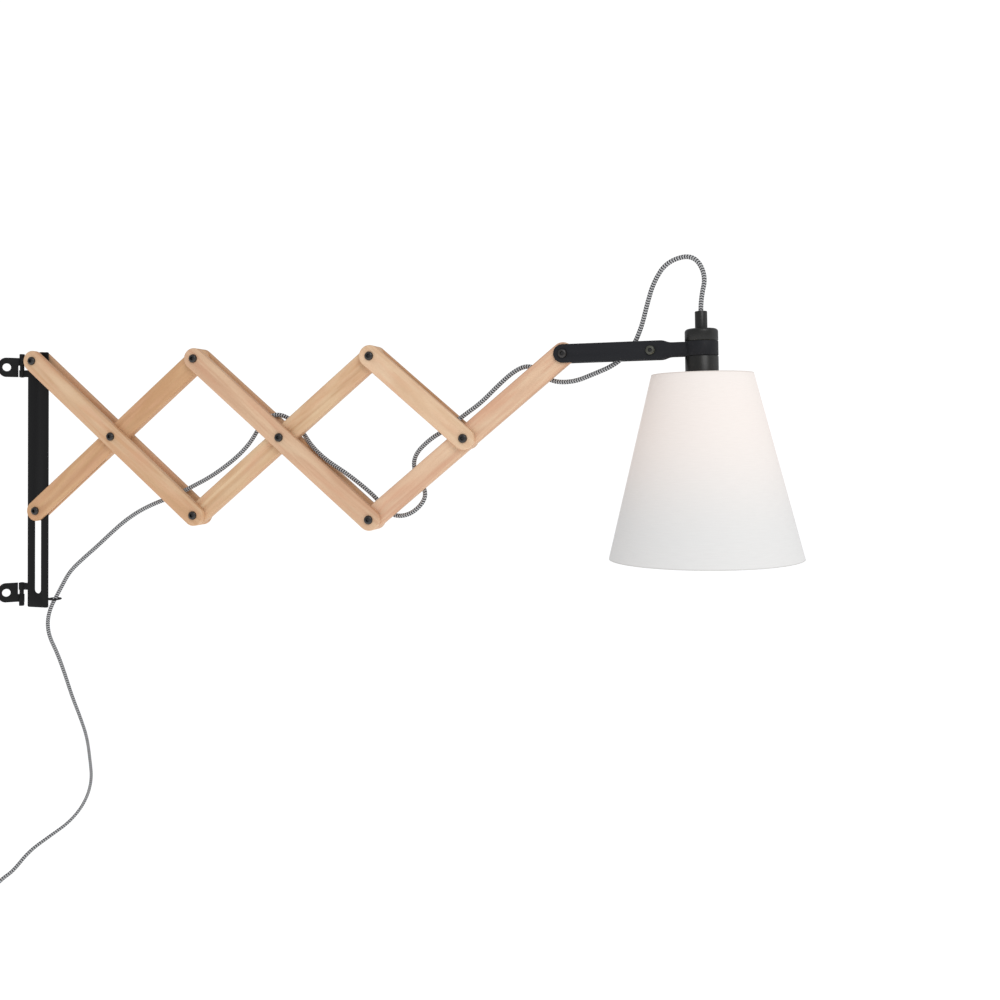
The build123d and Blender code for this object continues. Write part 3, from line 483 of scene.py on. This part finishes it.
def beech(name, start, end, light, dark, offset):
    """Beech, oiled: warm and matt, with soft streaks and fine ray flecks from start to end."""
    finish, tree, where = finish_named(name)
    lengthways = (end - start).normalized()
    turned = Matrix((lengthways, facing.cross(lengthways), facing)).transposed()
    local = add_node(tree, "ShaderNodeMapping", {
        "Vector": where, "Location": start, "Rotation": turned.to_euler()},
        vector_type="TEXTURE")
    # Every slat is cut from another place of the plank.
    placed = add_node(tree, "ShaderNodeVectorMath", {
        0: local, 1: (offset, 0.37 * offset, 0.11 * offset)})
    # Growth rings about 4 mm apart, drawn out twelvefold along the slat and bent by a slow noise.
    drawn = add_node(tree, "ShaderNodeVectorMath", {0: placed, 1: (5, 62, 48)},
                     operation="MULTIPLY")
    figure = add_node(tree, "ShaderNodeTexNoise", {
        "Vector": drawn, "Scale": 1.0, "Detail": 4.0, "Roughness": 0.5,
        "Distortion": 0.6})
    rings = add_node(tree, "ShaderNodeMath", {0: figure, 1: 4.0}, operation="MULTIPLY")
    streaks = add_node(tree, "ShaderNodeMath", {0: rings, 1: 0.5}, operation="PINGPONG")
    soft = add_node(tree, "ShaderNodeMapRange", {0: streaks, 1: 0.0, 2: 0.5},
                    interpolation_type="SMOOTHSTEP")
    # Broad patches, 90 mm long and 17 mm wide, are paler or darker.
    broad = add_node(tree, "ShaderNodeVectorMath", {0: placed, 1: (11, 60, 40)},
                     operation="MULTIPLY")
    patches = add_node(tree, "ShaderNodeTexNoise", {"Vector": broad, "Scale": 1.0, "Detail": 2.0})
    shade = add_node(tree, "ShaderNodeMath", {0: soft, 1: 0.3}, operation="MULTIPLY")
    tone = add_node(tree, "ShaderNodeMath", {0: patches, 1: shade}, operation="ADD")
    tone_share = add_node(tree, "ShaderNodeMapRange", {0: tone, 1: 0.4, 2: 0.92})
    plank = add_node(tree, "ShaderNodeMix", {
        0: tone_share, 6: linear(light), 7: linear(dark)}, data_type="RGBA")
    # Pinkish bands a few centimetres long, where the plank was steamed.
    pink_space = add_node(tree, "ShaderNodeVectorMath", {0: placed, 1: (17, 95, 70)},
                          operation="MULTIPLY")
    pink = add_node(tree, "ShaderNodeTexNoise", {
        "Vector": pink_space, "Scale": 1.0, "Detail": 3.0, "Distortion": 0.4})
    pink_share = add_node(tree, "ShaderNodeMapRange", {0: pink, 1: 0.45, 2: 0.7, 3: 0.0, 4: 0.45})
    steamed = add_node(tree, "ShaderNodeMix", {
        0: pink_share, 6: plank.outputs[2], 7: linear("#d8a585")}, data_type="RGBA")
    # Ray flecks, about 4 mm long and 0.5 mm wide.
    fleck_space = add_node(tree, "ShaderNodeVectorMath", {
        0: placed, 1: (260, 2200, 1500)}, operation="MULTIPLY")
    fleck = add_node(tree, "ShaderNodeTexNoise", {
        "Vector": fleck_space, "Scale": 1.0, "Detail": 1.0})
    fleck_share = add_node(tree, "ShaderNodeMapRange", {0: fleck, 1: 0.6, 2: 0.74, 3: 0.0, 4: 0.2})
    flecked = add_node(tree, "ShaderNodeMix", {
        0: fleck_share, 6: steamed.outputs[2], 7: linear("#a9744a")}, data_type="RGBA")
    # Painted shade: the eased edges, 12 to 13 mm from the middle, are coloured darker.
    across = add_node(tree, "ShaderNodeSeparateXYZ", {0: local})
    outward = add_node(tree, "ShaderNodeMath", {0: across.outputs[1]}, operation="ABSOLUTE")
    rim = add_node(tree, "ShaderNodeMapRange", {
        0: outward, 1: 11.9 * mm, 2: 12.9 * mm, 3: 0.0, 4: 0.3},
        interpolation_type="SMOOTHSTEP")
    painted_shade_mix = add_node(tree, "ShaderNodeMix", {
        0: rim, 6: flecked.outputs[2], 7: linear("#b07d55")}, data_type="RGBA")
    rough = add_node(tree, "ShaderNodeMapRange", {0: fleck, 3: 0.46, 4: 0.62})
    relief = add_node(tree, "ShaderNodeBump", {
        "Height": fleck, "Distance": 0.06 * mm, "Strength": 0.35})
    close_finish(tree, {"Base Color": painted_shade_mix.outputs[2], "Roughness": rough,
                        "Specular IOR Level": 0.35, "Normal": relief})
    return finish


pivots = {name: in_arm(across * half_run, -down * half_rise) for name, across, down in (
    ("wall_top", 0, 0), ("cross_1", 1, 1), ("wall_slide", 0, 2),
    ("top_1", 2, 0), ("cross_2", 3, 1), ("bottom_1", 2, 2),
    ("top_2", 4, 0), ("cross_3", 5, 1), ("bottom_2", 4, 2), ("arm_end", 6, 0))}
# Painted shade: the rear slats, behind the front ones, all take one darker pair of beech colours.
rear_shaded_pale, rear_shaded_deep = "#cfa883", "#bb8f65"
slats = [
    ("first_slat_front", "wall_top", "bottom_1", "first_slat", "#dcbb98", "#cda37c", 0.0),
    ("first_slat_rear", "wall_top", "bottom_1", "first_slat", rear_shaded_pale, rear_shaded_deep, 3.1),
    ("second_slat_front", "top_1", "bottom_2", "second_slat", "#dcbb9a", "#cba181", 6.7),
    ("second_slat_rear", "top_1", "bottom_2", "second_slat", rear_shaded_pale, rear_shaded_deep, 9.2),
    ("short_slat_front", "top_2", "cross_3", "short_slat", "#e4c5a4", "#d6b08c", 12.6),
    ("short_slat_rear", "top_2", "cross_3", "short_slat", rear_shaded_pale, rear_shaded_deep, 15.5),
    ("wall_riser_slat", "wall_slide", "top_1", "wall_riser", "#d3aa80", "#c1936a", 18.3),
    ("middle_riser_slat", "bottom_1", "top_2", "middle_riser", "#dcbc97", "#c89e76", 21.4),
    ("outer_riser_slat", "bottom_2", "arm_end", "outer_riser", "#e2c2a2", "#d2a688", 24.9),
]
for node, start, end, body, light, dark, offset in slats:
    wood = beech("oiled_beech_" + node, pivots[start], pivots[end], light, dark, offset)
    eased_copy(node, node + "_beech", wood, body, 0.35, angle=25, segments=2)

# ------------------------------------------------------------------ pivot bolts and nuts
# Steel button-head bolts with hexagon keys and plain nuts, chemically blackened.  One bolt and one
# nut are turned in mesh code, and a node tree sets them at the pivots of each slat.
bolt_finish = steel_coat("blackened_steel", "#1c1917", 0.3, specular=0.6, shaded_key=True)
clamp_finish = steel_coat("olive_zinc", "#3c3d33", 0.36, specular=0.6, shaded_key=True)
fastener_sides = 48


def hexagon_reach(angle, flats):
    """How far a hexagon of a width across its flats reaches at an angle."""
    return flats / 2 / cos((angle % (pi / 3)) - pi / 6)


def fastener(name, rings, finish, closed, crease):
    """A mesh of rings, each a height and a radius for an angle, joined and capped or closed."""
    bm = bmesh.new()
    loops = []
    for z, radius_at in rings:
        angles = [2 * pi * k / fastener_sides for k in range(fastener_sides)]
        loops.append([bm.verts.new((radius_at(a) * cos(a), radius_at(a) * sin(a), z))
                      for a in angles])
    for lower, upper in zip(loops, loops[1:] + (loops[:1] if closed else [])):
        for k in range(fastener_sides):
            after = (k + 1) % fastener_sides
            bm.faces.new((lower[k], lower[after], upper[after], upper[k]))
    if not closed:
        bm.faces.new(list(reversed(loops[0])))
        bm.faces.new(loops[-1])
        in_key = bm.faces.layers.float.new("in_key")
        for face in bm.faces:
            face[in_key] = float(all(v.co.xy.length < key_reach and v.co.z > 0 for v in face.verts))
    for face in bm.faces:
        face.smooth = True
    bmesh.ops.recalc_face_normals(bm, faces=bm.faces)
    mesh = bpy.data.meshes.new(name)
    bm.to_mesh(mesh)
    bm.free()
    mesh.set_sharp_from_angle(angle=radians(crease))
    mesh.materials.append(finish)
    return bpy.data.objects.new(name, mesh)


head_r, head_h, head_rim, head_edge = 5.25, 3.3, 0.9, 0.15
shank_r, shank_chamfer, behind_slats = 3.0, 0.8, 5.8
key_flats, key_depth, key_chamfer = 4.0, 2.0, 0.25
key_reach = head_r * 0.49
nut_flats, nut_height, nut_bore, nut_face_r = 10.0, 5.0, 3.05, 4.9


def bolt_for(name, reach, finish):
    """A button-head bolt along Z: head above the slats, shank through them, end past the nut."""
    tip, top = -reach - behind_slats, reach + head_h
    profile = [(shank_r - shank_chamfer, tip), (shank_r, tip + shank_chamfer), (shank_r, reach),
               (head_r - head_edge, reach), (head_r, reach + head_edge), (head_r, reach + head_rim)]
    profile += [(head_r * 0.5 * (1 + cos(radians(a))),
                 reach + head_rim + (head_h - head_rim) * sin(radians(a)))
                for a in range(12, 90, 13)]
    profile += [(head_r * 0.5, top)]
    rings = [(z, lambda a, r=r: r) for r, z in profile]
    rings += [(z, lambda a, grow=grow: hexagon_reach(a, key_flats * grow))
              for z, grow in ((top, 1.06), (top - key_chamfer, 1.0), (top - key_depth, 1.0))]
    return fastener(name, rings, finish, closed=False, crease=32)


def nut_for(name, reach, finish):
    """A hexagon nut along Z behind the slats, both its faces bevelled, bored for the shank."""
    rings = [(z - reach, lambda a, most=most: min(hexagon_reach(a, nut_flats), most))
             for z, most in ((0, nut_face_r), (-0.35, nut_flats), (0.45 - nut_height, nut_flats),
                             (-nut_height, nut_face_r))]
    rings += [(z - reach, lambda a: nut_bore) for z in (-nut_height, 0)]
    return fastener(name, rings, finish, closed=True, crease=25)


# The tree: one fastener on each pivot point, turned by a random part of a turn about its axis.
setter = bpy.data.node_groups.new("fasteners_on_pivots", "GeometryNodeTree")
for socket_name, kind in (("Pivots", "NodeSocketGeometry"), ("Fastener", "NodeSocketObject"),
                          ("Size", "NodeSocketFloat"), ("Facing", "NodeSocketVector"),
                          ("Key turn seed", "NodeSocketInt"), ("Finish", "NodeSocketMaterial")):
    setter.interface.new_socket(socket_name, in_out="INPUT", socket_type=kind)
setter.interface.new_socket("Fasteners", in_out="OUTPUT", socket_type="NodeSocketGeometry")
given = add_node(setter, "NodeGroupInput")
picked = add_node(setter, "GeometryNodeObjectInfo", {"Object": given.outputs["Fastener"]},
                  transform_space="ORIGINAL")
key_turn = add_node(setter, "FunctionNodeRandomValue", {
    2: 0.0, 3: pi / 3, "Seed": given.outputs["Key turn seed"]}, data_type="FLOAT")
about_axis = add_node(setter, "ShaderNodeCombineXYZ", {"Z": key_turn.outputs[1]})
spin = add_node(setter, "FunctionNodeEulerToRotation", {0: about_axis})
aimed = add_node(setter, "FunctionNodeAlignRotationToVector", {
    "Vector": given.outputs["Facing"]}, axis="Z")
turned_key = add_node(setter, "FunctionNodeRotateRotation", {
    0: aimed, 1: spin}, rotation_space="LOCAL")
set_out = add_node(setter, "GeometryNodeInstanceOnPoints", {
    "Points": given.outputs["Pivots"], "Instance": picked.outputs["Geometry"],
    "Rotation": turned_key, "Scale": given.outputs["Size"]})
real = add_node(setter, "GeometryNodeRealizeInstances", {0: set_out})
coated = add_node(setter, "GeometryNodeSetMaterial", {
    "Geometry": real, "Material": given.outputs["Finish"]})
add_node(setter, "NodeGroupOutput", {0: coated})


def set_fasteners(name, node, body, master, places, finish, seed):
    """One plain mesh with the fastener at each place, for one body."""
    mesh = bpy.data.meshes.new(name + "_pivots")
    mesh.from_pydata([tuple(p) for p in places], [], [])
    piece = bpy.data.objects.new(name, mesh)
    bpy.context.collection.objects.link(piece)
    bpy.context.collection.objects.link(master)
    rig = piece.modifiers.new("fasteners", "NODES")
    rig.node_group = setter
    values = {"Fastener": master, "Size": mm, "Facing": tuple(facing), "Key turn seed": seed,
              "Finish": finish}
    for item in setter.interface.items_tree:
        if item.in_out == "INPUT" and item.name in values:
            rig[item.identifier] = values[item.name]
    make_plain(piece, name)
    master_mesh = master.data
    bpy.data.objects.remove(master)
    bpy.data.meshes.remove(master_mesh)
    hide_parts(node)
    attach(piece, body)


# From the middle of the slats to the foot of a bolt's head, in mm.
pair_reach, single_reach, strap_reach = 12.8, 5.5, 8.3
pivots["strap_clamp"] = pivots["arm_end"] + strap_along * 98.5 * mm
fastener_sets = [
    ("first_slat", "s", "first_slat", pair_reach, ("wall_top", "cross_1", "bottom_1")),
    ("second_slat", "s", "second_slat", pair_reach, ("top_1", "cross_2", "bottom_2")),
    ("short_slat", "s", "short_slat", pair_reach, ("top_2", "cross_3")),
    ("slide", "", "wall_riser", single_reach, ("wall_slide",)),
    ("head_pivot", "", "head", strap_reach, ("arm_end",)),
    ("clamp", "", "head", strap_reach, ("strap_clamp",)),
]
for seed, (group, plural, body, reach, names) in enumerate(fastener_sets):
    places = [pivots[name] for name in names]
    finish = clamp_finish if group == "clamp" else bolt_finish
    set_fasteners(group + "_button_bolts", f"{group}_bolt{plural}", body,
                  bolt_for(group + "_button_head", reach, finish), places, finish, seed)
    set_fasteners(group + "_hexagon_nuts", f"{group}_nut{plural}", body,
                  nut_for(group + "_hexagon", reach, finish), places, finish, seed)
dress("slide_bush", plug_finish)
dress("clamp_spacer", pin_coat)

# ------------------------------------------------------------------ head strap
# Flat steel bent round the lamp holder and drawn together to a fork that grips the outer slat,
# powder coated a shade lighter than the bar.
strap_coat = steel_coat("charcoal_powder_coat", "#1b1c20", 0.5)
eased_copy("head_strap", "forked_strap", strap_coat, "head", 0.35)

# ------------------------------------------------------------------ lamp holder and gland
# Black phenolic plastic, moulded: a domed cap over the strap, a plain body under it with a thread
# for the shade's ring, and a screwed gland for the cord.

# Moulded phenolic: semi-gloss, its gloss uneven where the plastic flowed, with a very fine grain.
holder_finish, tree, where = finish_named("black_phenolic_plastic")
flow = add_node(tree, "ShaderNodeTexNoise", {"Vector": where, "Scale": 60.0, "Detail": 3.0})
rough = add_node(tree, "ShaderNodeMapRange", {0: flow, 3: 0.3, 4: 0.42})
fine = add_node(tree, "ShaderNodeTexNoise", {"Vector": where, "Scale": 1500.0})
relief = add_node(tree, "ShaderNodeBump", {"Height": fine, "Distance": 0.03 * mm, "Strength": 0.25})
close_finish(tree, {"Base Color": linear("#171715"), "Roughness": rough,
                    "Specular IOR Level": 0.4, "Normal": relief})


def turned_piece(name, profile, finish, node, sides=96, swell=None):
    """Turns a closed profile of (radius, height) in mm about the lamp's axis, for the head."""
    bm = bmesh.new()
    uv_layer = bm.loops.layers.uv.new("turned_uv")
    rings, run = [], [0.0]
    for before, after in zip(profile, profile[1:] + profile[:1]):
        run.append(run[-1] + (Vector(after) - Vector(before)).length)
    for number, (radius, height) in enumerate(profile):
        centre = lamp_centre + lamp_up * height * mm
        if radius == 0:
            rings.append([bm.verts.new(centre)])
            continue
        ring = []
        for k in range(sides):
            angle = 2 * pi * k / sides
            grown = radius + (swell(number, angle) if swell else 0)
            outwards = strap_along * cos(angle) + facing * sin(angle)
            ring.append(bm.verts.new(centre + outwards * grown * mm))
        rings.append(ring)
    unrolled = 2 * pi * max(r for r, _ in profile) * mm
    for number, (lower, upper) in enumerate(zip(rings, rings[1:] + rings[:1])):
        if len(lower) == 1 and len(upper) == 1:
            continue
        for k in range(sides):
            corners, spots = [], []
            for ring, place, level in ((lower, k, 0), (lower, k + 1, 0),
                                       (upper, k + 1, 1), (upper, k, 1)):
                corner = ring[place % len(ring)] if len(ring) > 1 else ring[0]
                if corner not in corners:
                    corners.append(corner)
                    spots.append((place / sides * unrolled, run[number + level] * mm))
            face = bm.faces.new(corners)
            face.smooth = True
            for loop, spot in zip(face.loops, spots):
                loop[uv_layer].uv = spot
    bmesh.ops.recalc_face_normals(bm, faces=bm.faces)
    mesh = bpy.data.meshes.new(name)
    bm.to_mesh(mesh)
    bm.free()
    mesh.set_sharp_from_angle(angle=radians(40))
    mesh.materials.append(finish)
    piece = bpy.data.objects.new(name, mesh)
    bpy.context.collection.objects.link(piece)
    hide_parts(node)
    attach(piece, "head")


# Heights are in mm from the strap's middle, up the lamp's axis.  A groove 0.8 mm high, down to
# groove_r, parts the cap and the body from the strap's ring.
strap_half, socket_r, groove_r, bore_r, shell = 7.75, 18.15, 15.95, 15.75, 2.5
cap_top, crown_r, cord_hole_r = strap_half + 14, 3.6, 4.95
cap_profile = [(bore_r, strap_half + 0.05), (groove_r, strap_half + 0.05),
               (groove_r, strap_half + 0.8), (socket_r - 0.2, strap_half + 0.85),
               (socket_r, strap_half + 1.1)]
cap_profile += [(socket_r - crown_r + crown_r * cos(radians(a)),
                 cap_top - crown_r + crown_r * sin(radians(a))) for a in range(0, 91, 9)]
cap_profile += [(cord_hole_r, cap_top), (cord_hole_r, cap_top - shell), (bore_r, cap_top - shell)]
turned_piece("holder_cap", cap_profile, holder_finish, "socket_cap")

body_top, body_step, body_foot = -strap_half, -strap_half - 30, -strap_half - 54
neck_top, neck_bore, body_bore = 15.75, 13.8, 14.4
thread_root, thread_crest, thread_pitch, thread_turns = 16.3, 17.0, 2.6, 8
body_profile = [(neck_bore, neck_top), (15.2, neck_top), (15.6, neck_top - 0.45),
                (15.6, body_top - 0.02), (groove_r, body_top - 0.05), (groove_r, body_top - 0.8),
                (socket_r - 0.2, body_top - 0.85), (socket_r, body_top - 1.1),
                (socket_r, body_step + 0.6), (socket_r - 0.6, body_step), (16.9, body_step)]
for turn in range(thread_turns):
    crest = body_step - 2.5 - turn * thread_pitch
    body_profile += [(thread_root, crest + 1.1), (thread_crest, crest + 0.4),
                     (thread_crest, crest - 0.4), (thread_root, crest - 1.1)]
body_profile += [(16.5, body_foot + 0.5), (16.1, body_foot), (body_bore, body_foot),
                 (body_bore, body_top - shell), (neck_bore, body_top - shell)]
turned_piece("holder_body", body_profile, holder_finish, "socket_body")

gland_r, gland_foot = 6.75, cap_top - 2.55
gland_profile = [(0, gland_foot), (4.9, gland_foot), (4.9, cap_top + 0.02), (6.35, cap_top + 0.02),
                 (gland_r, cap_top + 0.4), (gland_r, gland_top - 0.7), (6.55, gland_top - 0.25),
                 (6.1, gland_top), (4.4, gland_top), (3.6, gland_top), (3.3, gland_top - 0.8),
                 (0, gland_top - 0.8)]
turned_piece("screwed_cord_gland", gland_profile, holder_finish, "cord_gland")
dress("shade_ring_nut", holder_finish)

# ------------------------------------------------------------------ inside the holder
# A core of steatite, pressed, fired and glazed, sits in the holder's body.  It carries a thread
# shell rolled from brass sheet and a sprung brass tongue for the bulb's centre.

# Glazed steatite: off-white and glossy, faintly speckled.
core_finish, tree, where = finish_named("glazed_steatite")
speck = add_node(tree, "ShaderNodeTexNoise", {"Vector": where, "Scale": 500.0, "Detail": 3.0})
clay = add_node(tree, "ShaderNodeMix", {
    0: speck, 6: linear("#e6e1d6"), 7: linear("#d2cbbb")}, data_type="RGBA")
close_finish(tree, {"Base Color": clay.outputs[2], "Roughness": 0.3})
# Pressed brass: yellow metal, brighter where the tool rubbed it.
brass_finish, tree, where = finish_named("pressed_brass")
rubbed = add_node(tree, "ShaderNodeTexNoise", {"Vector": where, "Scale": 220.0, "Detail": 4.0})
rough = add_node(tree, "ShaderNodeMapRange", {0: rubbed, 3: 0.2, 4: 0.4})
close_finish(tree, {"Base Color": linear("#c79a4c"), "Metallic": 1.0, "Roughness": rough})
dress("socket_core", core_finish)
dress("thread_shell", brass_finish)
dress("centre_contact", brass_finish)

# ------------------------------------------------------------------ shade
# White cotton glued to a stiff translucent liner, rolled to a cone with an overlapped seam on the
# wall side; the cloth is turned in over a wire hoop at both rims.
shade_top, shade_foot, shade_wall, turn_in, turn_in_thick = -27.5, -230.5, 1.25, 8, 0.35
top_r, foot_r, shade_rings = 55.3, 105.8, 41

# Plain woven cotton: matt white, thread by thread; its weft is uneven, the lit bulb warms its upper
# half, and the turned-in hems let less light through, a thin greyer line at both rims.
shade_finish, tree, where = finish_named("white_cotton_on_liner")
thread_gap = 0.9 * mm  # the real threads are 0.4 mm apart, too fine to show
uv = add_node(tree, "ShaderNodeUVMap", uv_map="turned_uv")
threads = add_node(tree, "ShaderNodeVectorMath", {0: uv, 1: (2 * pi / thread_gap,) * 3},
                   operation="MULTIPLY")
split = add_node(tree, "ShaderNodeSeparateXYZ", {0: threads})
warp = add_node(tree, "ShaderNodeMath", {0: split}, operation="SINE")
weft = add_node(tree, "ShaderNodeMath", {0: split.outputs[1]}, operation="SINE")
crossing = add_node(tree, "ShaderNodeMath", {0: warp, 1: weft}, operation="MULTIPLY")
slub_space = add_node(tree, "ShaderNodeVectorMath", {0: uv, 1: (60, 900, 1)}, operation="MULTIPLY")
slub = add_node(tree, "ShaderNodeTexNoise", {"Vector": slub_space, "Scale": 1.0, "Detail": 3.0})
cloth = add_node(tree, "ShaderNodeMix", {
    0: slub, 6: linear("#e9e8e6"), 7: linear("#e2e1df")}, data_type="RGBA")
level = add_node(tree, "ShaderNodeVectorMath", {0: where, 1: lamp_up}, operation="DOT_PRODUCT")
middle_level = lamp_centre.dot(lamp_up) + (shade_top + shade_foot) / 2 * mm
from_middle = add_node(tree, "ShaderNodeMath", {0: level.outputs["Value"], 1: middle_level},
                       operation="SUBTRACT")
apart = add_node(tree, "ShaderNodeMath", {0: from_middle}, operation="ABSOLUTE")
half_tall, hem = (shade_top - shade_foot) / 2 * mm, 1.4 * mm
in_hem = add_node(tree, "ShaderNodeMapRange", {
    0: apart, 1: half_tall - hem, 2: half_tall - hem * 0.6, 3: 0.0, 4: 0.6})
hemmed = add_node(tree, "ShaderNodeMix", {
    0: in_hem, 6: cloth.outputs[2], 7: linear("#c6c4c0")}, data_type="RGBA")
glow_centre = lamp_centre - lamp_up * 78 * mm
from_bulb = add_node(tree, "ShaderNodeVectorMath", {0: where, 1: glow_centre}, operation="DISTANCE")
glow = add_node(tree, "ShaderNodeMapRange", {
    0: from_bulb.outputs["Value"], 1: 160 * mm, 2: 50 * mm, 3: 0.0, 4: 1.0},
    interpolation_type="SMOOTHSTEP")
glow_strength = add_node(tree, "ShaderNodeMath", {0: glow, 1: 0.13}, operation="MULTIPLY")
relief = add_node(tree, "ShaderNodeBump", {
    "Height": crossing, "Distance": 0.05 * mm, "Strength": 0.3})
close_finish(tree, {"Base Color": hemmed.outputs[2], "Roughness": 0.85, "Specular IOR Level": 0.2,
                    "Sheen Weight": 0.1, "Emission Color": linear("#ffb87c"),
                    "Emission Strength": glow_strength, "Normal": relief})


def outer_at(height):
    """The shade's outer radius at a height."""
    return top_r + (shade_top - height) * (foot_r - top_r) / (shade_top - shade_foot)


def inner_at(height, doubled):
    """Its inner radius, where the cloth is turned in or on the bare liner."""
    return outer_at(height) - shade_wall - (turn_in_thick if doubled else 0)


rim = 0.9
outer_heights = [shade_top - rim - k * (shade_top - shade_foot - 2 * rim) / (shade_rings - 1)
                 for k in range(shade_rings)]
foot_hem, top_hem = shade_foot + turn_in, shade_top - turn_in
shade_profile = [(top_r - shade_wall / 2, shade_top), (top_r - 0.1, shade_top - 0.25)]
outer_from = len(shade_profile)
shade_profile += [(outer_at(h), h) for h in outer_heights]
shade_profile += [(foot_r - 0.1, shade_foot + 0.25), (foot_r - shade_wall / 2, shade_foot),
                  (foot_r - shade_wall - 0.25, shade_foot + 0.2),
                  (foot_r - shade_wall - turn_in_thick, shade_foot + 0.8),
                  (inner_at(foot_hem, True), foot_hem),
                  (inner_at(foot_hem + 0.3, False), foot_hem + 0.3),
                  (inner_at(top_hem - 0.3, False), top_hem - 0.3),
                  (inner_at(top_hem, True), top_hem),
                  (top_r - shade_wall - turn_in_thick, shade_top - 0.8),
                  (top_r - shade_wall - 0.25, shade_top - 0.2)]
seam_angle, seam_half, seam_proud = 1.5 * pi, 0.055, 0.3


def seam_step(number, angle):
    """The overlap of the cloth stands proud at the back."""
    outside = outer_from <= number < outer_from + shade_rings
    return seam_proud if outside and abs(angle - seam_angle) < seam_half else 0.0


turned_piece("fabric_shade", shade_profile, shade_finish, "lampshade", sides=288,
             swell=seam_step)

# ------------------------------------------------------------------ shade carrier and hoop
# Steel wire, bent and welded, then dip coated: a ring with three arms and the top hoop, held on
# the holder's thread by the ring nut, and a second hoop in the lower rim of the cloth.

# White dip coating: even and half-gloss, a little thicker and thinner along the wire.
wire_finish, tree, where = finish_named("white_coated_wire")
drips = add_node(tree, "ShaderNodeTexNoise", {"Vector": where, "Scale": 300.0})
relief = add_node(tree, "ShaderNodeBump", {"Height": drips, "Distance": 0.05 * mm, "Strength": 0.3})
close_finish(tree, {"Base Color": linear("#ecebe8"), "Roughness": 0.4, "Normal": relief})
dress("shade_carrier", wire_finish)
dress("bottom_hoop", wire_finish)

# ------------------------------------------------------------------ bulb
# A blown glass bulb, frosted inside and lit, cemented into a rolled aluminium base that screws
# into the holder's thread shell.  It hangs inside the shade, where only its glow is seen.

# Frosted glass: an even warm glow under a soft sheen.
glass_finish, tree, where = finish_named("frosted_glass")
frost = add_node(tree, "ShaderNodeTexNoise", {"Vector": where, "Scale": 700.0, "Detail": 2.0})
rough = add_node(tree, "ShaderNodeMapRange", {0: frost, 3: 0.35, 4: 0.5})
close_finish(tree, {"Base Color": linear("#f6efe2"), "Roughness": rough,
                    "Emission Color": linear("#ffe2b8"), "Emission Strength": 1.1})
dress("bulb_glass", glass_finish)
# Rolled aluminium: grey metal, scuffed by its socket.
base_finish, tree, where = finish_named("rolled_aluminium")
scuff = add_node(tree, "ShaderNodeTexNoise", {"Vector": where, "Scale": 240.0, "Detail": 4.0})
rough = add_node(tree, "ShaderNodeMapRange", {0: scuff, 3: 0.25, 4: 0.42})
close_finish(tree, {"Base Color": linear("#b9babc"), "Metallic": 1.0, "Roughness": rough})
dress("bulb_base", base_finish)
